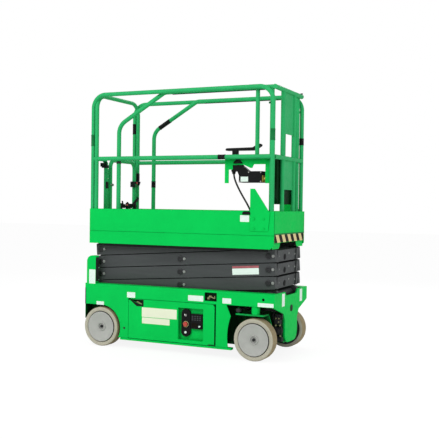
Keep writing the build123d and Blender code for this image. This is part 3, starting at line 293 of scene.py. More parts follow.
# painted shade: a darker copy of the tube green, on the right post sleeves, the lock pins, the gate catch
# plate and the line above the hazard strip
DARK_SHADE_GREEN = finish_material("dark_green_painted_shade", srgb(16, 120, 62), 0.5, tint=0.12, grain=0.2,
                         grain_scale=300.0, crease=0.6, crease_size=0.02, specular=0.12)
ARM = finish_material("grey_arm_paint", srgb(72, 75, 76), 0.5, tint=0.12, tint_scale=9.0, grain=0.25,
                      grain_scale=200.0, crease=1.0, crease_size=0.035, wear=srgb(140, 140, 138),
                      specular=0.2, stretch=(0.25, 1.0, 2.0))
CHROME = finish_material("ground_chrome", (0.78, 0.79, 0.8, 1), 0.12, tint=0.03, metallic=1.0,
                         rough_spread=0.05, grain=0.03)
IRON = finish_material("black_iron", srgb(38, 39, 41), 0.62, tint=0.25, grain=0.5, grain_scale=160.0,
                       grain_depth=0.0008, crease=0.5)
STEEL = finish_material("zinc_steel", srgb(176, 176, 172), 0.34, tint=0.1, metallic=0.85, grain=0.2,
                        crease=0.6, crease_size=0.01)
DARK_STEEL = finish_material("dark_steel", srgb(42, 43, 45), 0.45, tint=0.2, metallic=0.4, grain=0.3,
                             crease=0.5, crease_size=0.01, wear=srgb(120, 120, 118))
PLASTIC = finish_material("black_plastic", srgb(20, 21, 22), 0.55, tint=0.15, grain=0.5, grain_scale=900.0,
                          grain_depth=0.0003, specular=0.12)
# painted reflection: black plastic with a green tint for the green paint it reflects
REFLECTION_TINTED_PLASTIC = finish_material("black_plastic_painted_green_reflection", srgb(6, 40, 18), 0.5, tint=0.15, grain=0.5,
                              grain_scale=900.0, grain_depth=0.0003, specular=0.1)
BATTERY = finish_material("battery_case", srgb(56, 58, 62), 0.55, tint=0.12, grain=0.5, grain_scale=700.0)
RUBBER = finish_material("cable_rubber", srgb(20, 20, 21), 0.6, tint=0.2, grain=0.4, grain_scale=800.0)
RED = finish_material("red_button", srgb(196, 58, 44), 0.3, tint=0.05, grain=0.05, coat=0.4)
BRASS = finish_material("brass", srgb(176, 150, 66), 0.4, tint=0.2, metallic=0.5, grain=0.2, crease=0.6)
FLAP = finish_material("pocket_flap", srgb(150, 150, 108), 0.5, tint=0.25, tint_scale=30.0, grain=0.3,
                       specular=0.2)
BOLT = finish_material("bolt_grey", srgb(150, 153, 150), 0.5, tint=0.15, grain=0.3, crease=0.4,
                       crease_size=0.004, specular=0.3)
DISC = finish_material("grey_disc_paint", srgb(180, 181, 176), 0.46, tint=0.06, tint_scale=14.0, grain=0.2,
                       crease=0.7, crease_size=0.02, specular=0.35)
GROOVE = finish_material("groove_shadow", srgb(44, 46, 52), 0.6, tint=0.2)
TYRE_SIDE = finish_material("tyre_rubber", srgb(188, 184, 166), 0.7, tint=0.09, tint_scale=16.0, grain=0.5,
                            grain_scale=500.0, crease=0.15, crease_size=0.01, specular=0.2)
TREAD = finish_material("worn_tread_rubber", srgb(156, 142, 112), 0.8, tint=0.16, tint_scale=22.0,
                        grain=0.7, grain_scale=420.0, crease=0.2, crease_size=0.02, specular=0.12)
LABEL = finish_material("blank_label", srgb(236, 255, 244), 0.4, tint=0.02, grain=0.05, specular=0.3)
CREAM = finish_material("cream_label", srgb(242, 247, 220), 0.4, tint=0.03, grain=0.05, specular=0.3)
PINK = finish_material("faded_red_label", srgb(176, 98, 104), 0.45, tint=0.2, tint_scale=60.0, grain=0.05,
                       specular=0.3)
YELLOW = finish_material("hazard_yellow", srgb(230, 212, 152), 0.45, tint=0.08, tint_scale=14.0, grain=0.1,
                         specular=0.15)
BLACK_FILM = finish_material("hazard_black", srgb(20, 13, 6), 0.5, tint=0.1, grain=0.1, specular=0.1)

SLOT_LOOK = {
    "green_panel": PANEL, "green_tube": TUBE, "arm_grey": ARM, "chrome_rod": CHROME, "dark_iron": IRON,
    "battery_case": BATTERY, "black_plastic": PLASTIC, "red_plastic": RED, "cable_rubber": RUBBER,
    "wheel_grey": DISC, "tyre": TYRE_SIDE,
}
# the chassis frame and the knuckles take the green with painted shade
NODE_LOOK = {
    "manual_box": REFLECTION_TINTED_PLASTIC, "chassis_frame": SHADED_GREEN, "knuckle_right": SHADED_GREEN, "knuckle_left": SHADED_GREEN,
}
for part in frame["record"]["subparts"]:
    looks = nodes[part["node"]].data.materials
    looks.clear()
    looks.append(NODE_LOOK.get(part["node"], SLOT_LOOK[part["material_slot"]]))

# ---- sizes shared by several pieces ----------------------------------------------------------------
SIDE = 0.375                        # side face of the chassis
DOOR = SIDE + 0.002                 # face of the tray doors
FRONT = 0.8345                      # just inside the front plate's face
ARM_OUT = 0.286                     # outer face of the outer arms
AXLE = 0.673                        # the axles stand this far from the middle
WHEEL_Y = 0.340
WHEEL_R = 0.160
TOP_LEVEL = 4                       # levels of the scissor stack
LEVEL_HEIGHT = 0.102                # folded height of one level
LOWER_PIN_Z = 0.480
HALF_ARM = 0.75                     # centre pin to end pin
REST = math.asin(LEVEL_HEIGHT / (2 * HALF_ARM))
TOE_FACE = 0.350                    # outer face of the toe boards
GUSSET_FACE = 0.355                 # outer face of the toe boards' gussets
NOSE_X = 0.812                      # front face of the roll-out deck
GATE_X = -0.767                     # plane of the gate
RAIL_Y = 0.330                      # fixed guard rails
INNER_RAIL_Y = 0.290                # rails of the roll-out deck
REAR_POST_X = -0.8015
FRONT_POST_X = 0.785
LABEL_DEPTH = 0.0006
SIDES = (("right", -1), ("left", 1))


# ---- wheels ----------------------------------------------------------------------------------------
def wheels():
    tread_profile = [
        (0.1555, -0.0463), (0.1592, -0.039), (0.160, -0.031), (0.160, -0.008), (0.1594, -0.0072),
        (0.1594, 0.0072), (0.160, 0.008), (0.160, 0.031), (0.1592, 0.0375), (0.1568, 0.0440),
    ]
    tyre_profile = [
        (0.1568, 0.0440), (0.1545, 0.0470), (0.1515, 0.0487), (0.1480, 0.0490), (0.1400, 0.0470),
        (0.1320, 0.0448), (0.1285, 0.0436), (0.1268, 0.0418), (0.1263, 0.0380), (0.1263, -0.044),
        (0.1340, -0.0495), (0.148, -0.0495), (0.1555, -0.0463),
    ]
    disc_profile = [
        (0.0, 0.0290), (0.016, 0.0290), (0.0172, 0.0300), (0.0262, 0.0302), (0.0270, 0.0365),
        (0.0290, 0.0378), (0.0335, 0.0378), (0.0350, 0.0365), (0.0358, 0.0320), (0.040, 0.0315),
        (0.060, 0.0350), (0.080, 0.0398), (0.100, 0.0448), (0.111, 0.0478), (0.1170, 0.0491),
        (0.1202, 0.0490), (0.1215, 0.0474),
    ]
    drum_profile = [(0.1215, 0.0474), (0.1216, 0.0440), (0.1216, 0.0165), (0.1263, 0.0165)]
    seat_profile = [
        (0.1262, 0.0165), (0.1262, -0.0430), (0.1335, -0.0492), (0.1310, -0.0494),
        (0.1140, -0.046), (0.1130, -0.044), (0.1130, 0.002), (0.110, 0.004), (0.056, 0.004), (0.048, -0.010),
        (0.0204, -0.010),
    ]
    for end, x in (("front", AXLE), ("rear", -AXLE)):
        for side, sign in SIDES:
            centre = (x, sign * WHEEL_Y, WHEEL_R)
            out = (0, sign, 0)
            body = f"wheel_{end}_{side}"
            piece(f"tyre_skin_{end}_{side}", body, TYRE_SIDE,
                  lambda bm: lathe(bm, tyre_profile, centre, out, 128), replaced=(f"tyre_{end}_{side}",))
            piece(f"tread_{end}_{side}", body, TREAD,
                  lambda bm: lathe(bm, tread_profile, centre, out, 128))
            piece(f"disc_{end}_{side}", body, DISC,
                  lambda bm: lathe(bm, disc_profile, centre, out, 128), replaced=(f"rim_{end}_{side}",))
            piece(f"groove_{end}_{side}", body, GROOVE,
                  lambda bm: lathe(bm, drum_profile, centre, out, 128))
            piece(f"tyre_seat_{end}_{side}", body, IRON,
                  lambda bm: lathe(bm, seat_profile, centre, out, 96))

            def nut(bm):
                base = Vector(centre) + Vector(out) * 0.029
                rod(bm, base, out, 0.0125, 0.009, 6, 0.0118)
                for i in range(6):
                    a = math.radians(60 * i)
                    spot = base + Vector((math.cos(a), 0, math.sin(a))) * 0.0088 + Vector(out) * 0.009
                    rod(bm, spot, out, 0.0030, 0.004, 6)
                rod(bm, base, out, 0.006, 0.0150, 16)
            piece(f"castle_nut_{end}_{side}", body, DARK_STEEL, nut)


# ---- scissor pins and arm details ------------------------------------------------------------------
def arm_point(level, along, rising_to_front):
    """A point on an arm's centre line, `along` metres from its centre pin."""
    z = LOWER_PIN_Z + (level - 0.5) * LEVEL_HEIGHT
    slope = REST if rising_to_front else -REST
    return Vector((along * math.cos(slope), 0, z + along * math.sin(slope)))


def scissor_details():
    """Pin caps and keeper bolts on the outer arms, boxes with boss and bolts on the inner arms."""
    cap_profile = [(0.0, 0.0005), (0.011, 0.0005), (0.0125, 0.0028), (0.0215, 0.0030), (0.0232, 0.0020),
                   (0.0235, 0.0), (0.0, 0.0)]
    cap_y = ARM_OUT + 0.003         # outer face of the pin heads
    for level in range(1, TOP_LEVEL + 1):
        body = f"outer_arms_{level}"
        ends = [0.0]
        if level > 1:
            ends.insert(0, -HALF_ARM)
        if level < TOP_LEVEL:
            ends.append(HALF_ARM)

        def caps(bm):
            for along in ends:
                for _, sign in SIDES:
                    p = arm_point(level, along, True)
                    p.y = sign * cap_y
                    lathe(bm, cap_profile, p, (0, sign, 0), 40)
        piece(f"pin_caps_{level}", body, DARK_STEEL, caps)

        def keepers(bm):
            for along in ends:
                for _, sign in SIDES:
                    p = arm_point(level, along + 0.038, True)
                    p.y = sign * cap_y
                    bolt(bm, p, (0, sign, 0), 0.0088, 0.0052)
        piece(f"keeper_bolts_{level}", body, BOLT, keepers)

    normal = Vector((math.cos(REST), 0, -math.sin(REST)))
    rise = Vector((math.sin(REST), 0, math.cos(REST)))
    front_face = 0.0438             # from the end pin to just inside the front of its box
    boss_profile = [
        (0.0, 0.005), (0.014, 0.005), (0.0160, 0.0035), (0.0230, 0.0030), (0.0240, 0.0), (0.0, 0.0),
    ]
    for level in range(1, TOP_LEVEL + 1):
        body = f"inner_arms_{level}"
        pin = arm_point(level, HALF_ARM, False)
        back = arm_point(level, -HALF_ARM, False)

        def front_boss(bm):
            spot = pin + normal * front_face - rise * 0.012 + Vector((0, -0.048, 0))
            lathe(bm, boss_profile, spot, normal, 32)

        def front_bolts(bm):
            for y, z in ((-0.180, 0.0), (0.180, 0.0), (0.038, 0.013)):
                bolt(bm, pin + normal * front_face + rise * z + Vector((0, y, 0)), normal, 0.0065, 0.0045)

        def rear_box(bm):
            place = Matrix((normal, rise, Vector((0, 1, 0)))).transposed().to_4x4()
            place.translation = back + Vector((0, -0.195, 0)) - rise * 0.028 - normal * 0.010
            prism(bm, rounded(0.084, 0.096, 0.006), place, 0.390)

        if level > 1:
            piece(f"box_boss_{level}", body, PLASTIC, front_boss)
            piece(f"box_bolts_{level}", body, BOLT, front_bolts)
        if level < TOP_LEVEL:
            piece(f"rear_cross_box_{level}", body, ARM, rear_box)


# ---- blank labels ----------------------------------------------------------------------------------
def side_label(name, body, sign, y, x0, x1, z0, z1, mat=LABEL, tilt=0.0):
    place = side_place(sign, (x0 + x1) / 2, sign * y, (z0 + z1) / 2) @ Matrix.Rotation(tilt * -sign, 4, "Z")
    piece(name, body, mat,
          lambda bm: prism(bm, rounded(x1 - x0, z1 - z0, 0.003), place, LABEL_DEPTH))


def labels():
    for side, sign in SIDES:
        for name, x0, x1, z0, z1 in (
            ("post", -0.799, -0.738, 0.506, 0.622), ("wheel", -0.724, -0.652, 0.336, 0.364),
            ("rear_beam", -0.433, -0.357, 0.412, 0.456), ("mid_beam", 0.119, 0.250, 0.421, 0.464),
            ("column", 0.412, 0.485, 0.418, 0.459), ("axle", 0.701, 0.828, 0.411, 0.440),
        ):
            if side == "left" and name == "mid_beam":
                continue
            side_label(f"label_{name}_{side}", "chassis", sign, SIDE, x0, x1, z0, z1)
    side_label("label_door_upper", "tray_right", -1, DOOR, -0.292, 0.022, 0.266, 0.342, CREAM)
    side_label("label_door_lower", "tray_right", -1, DOOR, -0.290, -0.040, 0.214, 0.262, CREAM)
    side_label("label_toe_board", "platform", -1, TOE_FACE, 0.538, 0.612, 1.042, 1.092)
    low = arm_point(2, 0.563, True)
    side_label("label_arm", "outer_arms_2", -1, ARM_OUT, low.x - 0.11, low.x + 0.11, low.z - 0.033,
               low.z + 0.015, tilt=REST)
    side_label("label_arm_band", "outer_arms_2", -1, ARM_OUT, low.x - 0.1115, low.x + 0.1085, low.z + 0.0165,
               low.z + 0.0335, PINK, tilt=REST)
    for i, y in enumerate((-0.184, 0.227)):
        place = front_place(FRONT, y, 0.450)
        piece(f"label_front_{i}", "chassis", LABEL,
              lambda bm: prism(bm, rounded(0.06, 0.098, 0.003), place, LABEL_DEPTH))


# ---- hazard strip ----------------------------------------------------------------------------------
def hazard_strip():
    z0, z1 = 0.889, 0.947
    half = 0.3378
    piece("hazard_ground", "roll_out_deck", YELLOW,
          lambda bm: box(bm, NOSE_X, NOSE_X + 0.0004, -half, half, z0, z1))

    def bars(bm):
        pitch = 0.1290
        least = 0.002               # a narrower bar is left out
        for i in range(6):
            y = -half + i * pitch + 0.004
            corners = [(y - 0.003, z0), (y + 0.060, z0), (y + 0.020, z1), (y - 0.045, z1)]
            corners = [(min(max(a, -half), half), b) for a, b in corners]
            if corners[1][0] - corners[0][0] > least and corners[2][0] - corners[3][0] > least:
                prism(bm, corners, front_place(NOSE_X + 0.0004, 0, 0), 0.0002)
    piece("hazard_bars", "roll_out_deck", BLACK_FILM, bars)
    # painted shadow: a dark green strip along the top edge of the hazard stripes
    piece("hazard_shadow_line", "roll_out_deck", DARK_SHADE_GREEN,
          lambda bm: box(bm, NOSE_X, NOSE_X + 0.0008, -half, half, z1 + 0.001, z1 + 0.010), bevel=0.0003)


# ---- platform front --------------------------------------------------------------------------------
def platform_front():
    """Inward front flanges of the side channels, and black strips over the top arms that paint the shadow
    under the platform.
    """
    for side, sign in SIDES:
        def flange(bm):
            place = front_place(0.7975, 0, 0)
            corners = [(sign * 0.3495, 0.8405), (sign * 0.3495, 0.8865), (sign * 0.180, 0.8865),
                       (sign * 0.192, 0.858), (sign * 0.212, 0.8405)]
            prism(bm, corners if sign < 0 else list(reversed(corners)), place, 0.0022)
        piece(f"channel_flange_{side}", "platform", PANEL, flange)
        # painted shadow: a thin black strip along the top of the arms, under the platform's overhang
        piece(f"under_platform_shadow_{side}", "platform", PLASTIC,
              lambda bm: box(bm, -0.735, 0.765, sign * 0.3405, sign * 0.3438, 0.8205, 0.8600), bevel=0.0006)


# ---- ground controls -------------------------------------------------------------------------------
def ground_control_details():
    face = 0.371 - 0.027            # bottom of the recess
    y_pill = face + 0.016           # face of the switch plate
    y_panel = face + 0.020          # face of the display block
    x_pill = 0.094
    stop_z = 0.234
    out = (0, -1, 0)

    def ring(bm):
        lathe(bm, [(0.021, 0.0), (0.0235, 0.0), (0.0235, 0.003), (0.021, 0.003), (0.021, 0.0)],
              (x_pill, -y_pill, stop_z), out, 40)
    piece("emergency_stop_ring", "tray_right", YELLOW, ring)

    def knob(bm):
        profile = [(0.0, 0.017), (0.010, 0.0168), (0.0165, 0.0150), (0.0192, 0.0115), (0.0195, 0.009),
                   (0.0160, 0.0075), (0.0085, 0.006), (0.0085, 0.0), (0.0, 0.0)]
        lathe(bm, profile, (x_pill, -y_pill, stop_z), out, 40)
    piece("emergency_stop_knob", "tray_right", RED, knob, replaced=("ground_emergency_stop",))
    piece("switch_cap", "tray_right", LABEL,
          lambda bm: lathe(bm, [(0.0, 0.008), (0.008, 0.0075), (0.0095, 0.005), (0.0095, 0.0), (0.0, 0.0)],
                           (x_pill, -y_pill, 0.170), out, 28))
    piece("switch_toggle", "tray_right", STEEL,
          lambda bm: (rod(bm, (x_pill, -y_pill, 0.305), out, 0.011, 0.005, 6),
                      rod(bm, (x_pill, -y_pill - 0.005, 0.305), (0, -1, 0.4), 0.0035, 0.014, 12, 0.0048)))

    def keys(bm):
        for row in range(3):
            for column in range(4):
                x = 0.155 + column * 0.0215
                z = 0.300 - row * 0.014
                prism(bm, rounded(0.014, 0.008, 0.002), side_place(-1, x, -y_panel, z), 0.0015)
    piece("panel_keys", "tray_right", BATTERY, keys)
    piece("panel_window", "tray_right", BLACK_FILM,
          lambda bm: prism(bm, rounded(0.050, 0.034, 0.003), side_place(-1, 0.172, -y_panel, 0.232),
                           0.001))
    piece("panel_knob", "tray_right", LABEL,
          lambda bm: lathe(bm, [(0.0, 0.0125), (0.005, 0.0124), (0.0062, 0.0110), (0.0066, 0.0), (0.0, 0.0)],
                           (0.222, -(face + 0.029), 0.226), out, 24))


# ---- rail fittings ---------------------------------------------------------------------------------
def collar_profile(radius, length):
    """Clamp sleeve round a tube, lipped at both ends."""
    outer = radius + 0.0012
    rim = outer + 0.0006
    lip = outer + 0.001
    return [
        (radius, 0.0), (rim, 0.0), (lip, 0.001), (lip, 0.006), (outer, 0.0075), (outer, length - 0.0075),
        (lip, length - 0.006), (lip, length - 0.001), (rim, length), (radius, length),
    ]


def rail_fittings():
    rail = 0.017                    # radius of the fixed rails
    inner = 0.0175                  # radius of the inner rails
    post_x = -0.578
    up = (0, 0, 1)
    for name, body, mat, tube, point, axis, length in (
        # painted shade: the right post sleeves take the darker green
        ("post_sleeve_rear_right", "platform", DARK_SHADE_GREEN, rail, (REAR_POST_X, -RAIL_Y, 1.640), up, 0.092),
        ("post_sleeve_front_right", "platform", DARK_SHADE_GREEN, rail, (FRONT_POST_X, -RAIL_Y, 1.655), up, 0.085),
        ("post_sleeve_rear_left", "platform", PLASTIC, rail, (REAR_POST_X, RAIL_Y, 1.795), up, 0.090),
        ("post_sleeve_front_left", "platform", PLASTIC, rail, (FRONT_POST_X, RAIL_Y, 1.665), up, 0.055),
        ("inner_sleeve_left", "roll_out_deck", PLASTIC, inner, (post_x, INNER_RAIL_Y, 1.314), up, 0.055),
        ("inner_collar_right", "roll_out_deck", DARK_STEEL, inner, (post_x, -INNER_RAIL_Y, 1.494), up, 0.018),
        ("mid_rail_clamp_right", "platform", PLASTIC, rail, (0.342, -RAIL_Y, 1.535), (1, 0, 0), 0.058),
    ):
        piece(name, body, mat,
              lambda bm: lathe(bm, collar_profile(tube + 0.0003, length), point, axis, 32))

    def lock_pin(bm):
        profile = [(0.0, 0.0), (0.0095, 0.0), (0.0100, 0.001), (0.0100, 0.006), (0.0055, 0.007),
                   (0.0055, 0.0125), (0.0085, 0.0130), (0.0085, 0.0165), (0.0, 0.0170)]
        for x, out_x in ((REAR_POST_X, 1), (FRONT_POST_X, -1)):
            for y in (-RAIL_Y, RAIL_Y):
                lathe(bm, profile, (x + out_x * 0.0165, y, 1.935), (out_x, 0, 0), 20)
    piece("rail_lock_pins", "platform", DARK_SHADE_GREEN, lock_pin)

    def band(bm):
        foot = Vector((post_x, INNER_RAIL_Y, 1.806))
        rise = (Vector((-0.157, INNER_RAIL_Y, 2.058)) - foot).normalized()
        lathe(bm, collar_profile(0.0178, 0.120), foot + rise * 0.067, rise, 32)
    piece("slope_band_left", "roll_out_deck", PLASTIC, band)

    # painted shadow: black strips under the inner top rails, for the dark line below the top rail
    def rail_shadow_strip(bm):
        for y in (-INNER_RAIL_Y, INNER_RAIL_Y):
            box(bm, -0.085, 0.700, y - 0.006, y + 0.006, 2.0372, 2.0425)
    piece("rail_shadow_strips", "roll_out_deck", PLASTIC, rail_shadow_strip, bevel=0.001)

    def corner_hook(bm):
        rod(bm, (0.788, INNER_RAIL_Y, 2.0755), (0, 0, 1), 0.0105, 0.006, 20)
        rod(bm, (0.788, 0.296, 2.0805), (0, 1, 0.15), 0.0055, 0.028, 12)
    piece("corner_hook", "roll_out_deck", PLASTIC, corner_hook)

    def toe_hook(bm):
        y = -(TOE_FACE + 0.0005)
        outline = [(-0.033, -0.012), (0.033, -0.012), (0.033, 0.004), (0.020, 0.012), (-0.020, 0.012),
                   (-0.033, 0.0)]
        prism(bm, outline, side_place(-1, 0.590, y, 1.109), 0.006)
        rod(bm, (0.575, y - 0.006, 1.110), (0, -1, 0), 0.006, 0.006, 16)
    piece("toe_board_hook", "platform", PLASTIC, toe_hook)


# ---- gate fittings ---------------------------------------------------------------------------------
def gate_fittings():
    x = GATE_X

    def catch(bm):
        box(bm, x - 0.014, x + 0.022, 0.228, 0.300, 1.316, 1.366)
        box(bm, x + 0.006, x + 0.020, 0.292, 0.336, 1.332, 1.374)
        rod(bm, (x + 0.018, 0.236, 1.330), (1, 0, 0), 0.010, 0.012, 20, 0.008)
        rod(bm, (x + 0.020, 0.318, 1.332), (0.3, 0.2, 1), 0.0065, 0.036, 14)
    piece("gate_catch", "gate", PLASTIC, catch, bevel=0.0025)
    piece("gate_catch_knob", "gate", RED,
          lambda bm: lathe(bm, [(0.0, 0.013), (0.006, 0.012), (0.0085, 0.008), (0.0085, 0.0), (0.0, 0.0)],
                           (x + 0.020, 0.276, 1.352), (1, 0, 0), 24))
    piece("gate_catch_plate", "gate", DARK_SHADE_GREEN,
          lambda bm: box(bm, x + 0.0215, x + 0.0235, 0.246, 0.290, 1.320, 1.346), bevel=0.0005)

    def stop(bm):
        box(bm, x - 0.021, x + 0.021, -0.226, -0.177, 1.466, 1.490)
        box(bm, x - 0.010, x + 0.012, -0.262, -0.226, 1.474, 1.506)
        box(bm, x - 0.008, x + 0.014, -0.192, -0.178, 1.486, 1.512)
        rod(bm, (x + 0.014, -0.206, 1.484), (0.2, -0.5, 1), 0.0075, 0.036, 14)
    piece("gate_stop", "platform", PLASTIC, stop, bevel=0.002)

    for name, body, y0, y1 in (
        ("gate_hinge_strip", "gate", -0.154, -0.119), ("post_hinge_strip", "platform", -0.178, -0.1555),
    ):
        piece(name, body, TUBE,
              lambda bm: box(bm, x - 0.0015, x + 0.0015, y0, y1, 1.120, 1.378), bevel=0.0004)

    piece("gate_strike", "platform", PLASTIC,
          lambda bm: box(bm, x + 0.010, x + 0.0178, -0.207, -0.174, 1.294, 1.350), bevel=0.001)

    def pull(bm):
        rod(bm, (x + 0.021, -0.142, 1.325), (0, 1, 0), 0.0045, 0.020, 12)
        profile = [(0.0, 0.016), (0.008, 0.0155), (0.0115, 0.011), (0.0115, 0.004), (0.008, 0.0), (0.0, 0.0)]
        lathe(bm, profile, (x + 0.021, -0.124, 1.325), (0, 1, 0), 24)
    piece("gate_pull", "gate", BOLT, pull)

    def latch_rod(bm):
        rod(bm, (x + 0.012, 0.026, 1.140), (0, 1, 0.03), 0.0085, 0.262, 16)
        for y, tall in ((0.034, 0.030), (0.082, 0.022), (0.140, 0.034), (0.196, 0.026), (0.262, 0.036)):
            box(bm, x + 0.001, x + 0.023, y - 0.011, y + 0.011, 1.142 - tall * 0.6, 1.142 + tall)
        for y, z, axis, radius, length, segments in (
            (0.205, 1.150, (0, 1, 0.62), 0.0105, 0.120, 16), (0.296, 1.190, (0, 0.25, 1), 0.0090, 0.036, 16),
            (0.060, 1.150, (0, -0.45, 1), 0.0065, 0.044, 14), (0.118, 1.148, (0, 0.35, 1), 0.0065, 0.036, 14),
            (0.176, 1.136, (0, -0.45, -1), 0.0065, 0.038, 14),
        ):
            rod(bm, (x + 0.020, y, z), axis, radius, length, segments)
    piece("gate_latch_rod", "gate", PLASTIC, latch_rod, bevel=0.0012)
    piece("gate_latch_trigger", "gate", RED,
          lambda bm: box(bm, x + 0.0235, x + 0.0275, 0.108, 0.128, 1.150, 1.164), bevel=0.001)


# ---- pockets in the side ---------------------------------------------------------------------------
def side_pockets():
    """The open corner in each door, with a dark back and a dark rim that paint the shade in it, and the latch
    recess in the beam above it.
    """
    cut = [(-0.4045, 0.3975), (-0.2905, 0.3975), (-0.2905, 0.3575)]
    outer = [(-0.4100, 0.4008), (-0.2780, 0.4008), (-0.2780, 0.3480), (-0.3420, 0.3480)]
    (u0, v0), (u1, v1) = cut[0], cut[2]
    inner = cut + [(u0 + (u1 - u0) * 0.55, v0 + (v1 - v0) * 0.55)]
    flap = [(-0.352, 0.3795), (-0.340, 0.3860), (-0.2935, 0.3660), (-0.2935, 0.3605), (-0.2965, 0.3600)]
    x0, x1, z0, z1 = 0.262, 0.362, 0.430, 0.492      # latch recess
    sheet = 0.002
    bush_profile = [(0.0, 0.012), (0.007, 0.012), (0.0085, 0.010), (0.0085, 0.004), (0.012, 0.003),
                    (0.012, 0.0), (0.0, 0.0)]
    for side, sign in SIDES:
        def seen(points):
            return [(-sign * u, v) for u, v in points]

        # painted shade: a dark sheet behind the opening of the door pocket
        piece(f"door_pocket_shade_back_{side}", f"tray_{side}", REFLECTION_TINTED_PLASTIC,
              lambda bm: prism(bm, seen(cut), side_place(sign, 0, sign * 0.3535, 0), 0.0015))
        piece(f"door_pocket_flap_{side}", f"tray_{side}", FLAP,
              lambda bm: prism(bm, seen(flap), side_place(sign, 0, sign * 0.3585, 0), 0.0100), bevel=0.0012)

        # painted shade: a dark rim round the opening that makes the pocket read deeper
        def shade_rim(bm):
            seat = side_place(sign, 0, sign * (DOOR + 0.0001), 0)
            for i in range(4):
                j = (i + 1) % 4
                prism(bm, seen([outer[i], outer[j], inner[j], inner[i]]), seat, 0.0008)
        piece(f"door_pocket_shade_rim_{side}", f"tray_{side}", PLASTIC, shade_rim)

        def well(bm):
            back, face = sign * 0.342, sign * 0.3688
            box(bm, x0, x1, sign * 0.340, back, z0, z1)
            for a, b, c, d in ((x0, x0 + sheet, z0, z1), (x1 - sheet, x1, z0, z1), (x0, x1, z1 - sheet, z1),
                               (x0, x1, z0, z0 + sheet)):
                box(bm, a, b, back, face, c, d)
        piece(f"latch_well_{side}", "chassis", REFLECTION_TINTED_PLASTIC, well)

        def hook(bm):
            rod(bm, (0.300, sign * 0.342, 0.462), (0, sign, 0), 0.009, 0.020, 20, 0.0075)
            rod(bm, (0.300, sign * 0.358, 0.462), (1, 0, -0.35), 0.0045, 0.042, 12)
            rod(bm, (0.340, sign * 0.358, 0.448), (0, 0, 1), 0.0045, 0.020, 12)
        piece(f"latch_hook_{side}", "chassis", FLAP, hook)
        piece(f"latch_bush_{side}", "chassis", FLAP,
              lambda bm: lathe(bm, bush_profile, (0.282, sign * 0.342, 0.446), (0, sign, 0), 24))


# ---- chassis corners -------------------------------------------------------------------------------
def chassis_corners():
    """Bush in the front plate's slot, trim and plates at the rear corners, seals behind the door seams."""
    def bush(bm):
        prism(bm, rounded(0.062, 0.052, 0.022, 6), front_place(0.8348, 0, 0.370), 0.0012)
        prism(bm, rounded(0.034, 0.032, 0.014, 6), front_place(0.8360, 0, 0.370), 0.0010)
    piece("front_slot_bush", "chassis", REFLECTION_TINTED_PLASTIC, bush, bevel=0.0004)
    plate = [(0.3725, 0.345), (0.2745, 0.345), (0.2745, 0.232), (0.330, 0.218), (0.3725, 0.218)]
    plate_place = front_place(-0.8348, 0, 0)
    for side, sign in SIDES:
        piece(f"rear_edge_trim_{side}", "chassis", PLASTIC,
              lambda bm: box(bm, -0.8349, -0.8270, sign * 0.3735, sign * 0.3762, 0.337, 0.470), bevel=0.0006)
        # painted shade: the corner plates take the darker green that stands in for shade
        piece(f"rear_corner_plate_{side}", "chassis", SHADED_GREEN,
              lambda bm: prism(bm, [(sign * y, z) for y, z in plate][::-sign], plate_place, 0.0022),
              bevel=0.0004)
        piece(f"door_seal_{side}", "chassis", RUBBER,
              lambda bm: box(bm, 0.3810, 0.4240, sign * 0.3452, sign * 0.3470, 0.128, 0.398), bevel=0.0004)
        # painted shade: a thin dark panel over the rear posts' flanges
        piece(f"rear_post_shade_panel_{side}", "chassis", IRON,
              lambda bm: box(bm, -0.7362, -0.7350, sign * 0.3310, sign * 0.3740, 0.525, 0.722), bevel=0.0003)


# ---- platform controls -----------------------------------------------------------------------------
def platform_control_details():
    face = 0.264                    # right face of the control box
    piece("control_box_label", "roll_out_deck", LABEL,
          lambda bm: prism(bm, rounded(0.062, 0.038, 0.002), side_place(-1, 0.532, -face, 1.367),
                           LABEL_DEPTH))

    def screws(bm):
        for x, z in ((0.494, 1.349), (0.666, 1.349), (0.666, 1.420), (0.566, 1.420)):
            bolt(bm, (x, -face, z), (0, -1, 0), 0.004, 0.003)
    piece("control_box_screws", "roll_out_deck", STEEL, screws)

    def plug(bm):
        box(bm, 0.6755, 0.6830, -0.262, -0.206, 1.346, 1.396)
        profile = [(0.0, 0.040), (0.012, 0.040), (0.014, 0.037), (0.014, 0.018), (0.019, 0.016),
                   (0.019, 0.004), (0.022, 0.003), (0.022, 0.0), (0.0, 0.0)]
        lathe(bm, profile, (0.683, -0.236, 1.370), (1, 0, 0), 28)
    piece("control_box_plug", "roll_out_deck", BRASS, plug, bevel=0.001)

    def bellows(bm):
        profile = [(0.0, 0.0)]
        for i in range(7):
            height = i * 0.0085
            wide = 0.050 - i * 0.0048
            profile += [(wide, height), (wide - 0.004, height + 0.0045)]
        profile += [(0.010, 0.062), (0.0, 0.062)]
        lathe(bm, profile, (0.478, -0.242, 1.4875), (0, 0, 1), 28)
    piece("joystick_bellows", "roll_out_deck", RUBBER, bellows)

    def rest_pad(bm):
        outline = [(0.373, 1.6025), (0.592, 1.6025), (0.597, 1.606), (0.650, 1.6365), (0.645, 1.6395),
                   (0.594, 1.6105), (0.376, 1.6065)]
        prism(bm, outline, side_place(-1, 0, -0.206, 0), 0.056)
    piece("arm_rest_pad", "roll_out_deck", RUBBER, rest_pad, bevel=0.0015)

    def clamp_bolts(bm):
        for x in (0.410, 0.700):
            for z in (1.527, 1.541):
                bolt(bm, (x, -0.2635, z), (0, 1, 0), 0.005, 0.004)
    piece("cradle_bolts", "roll_out_deck", STEEL, clamp_bolts)


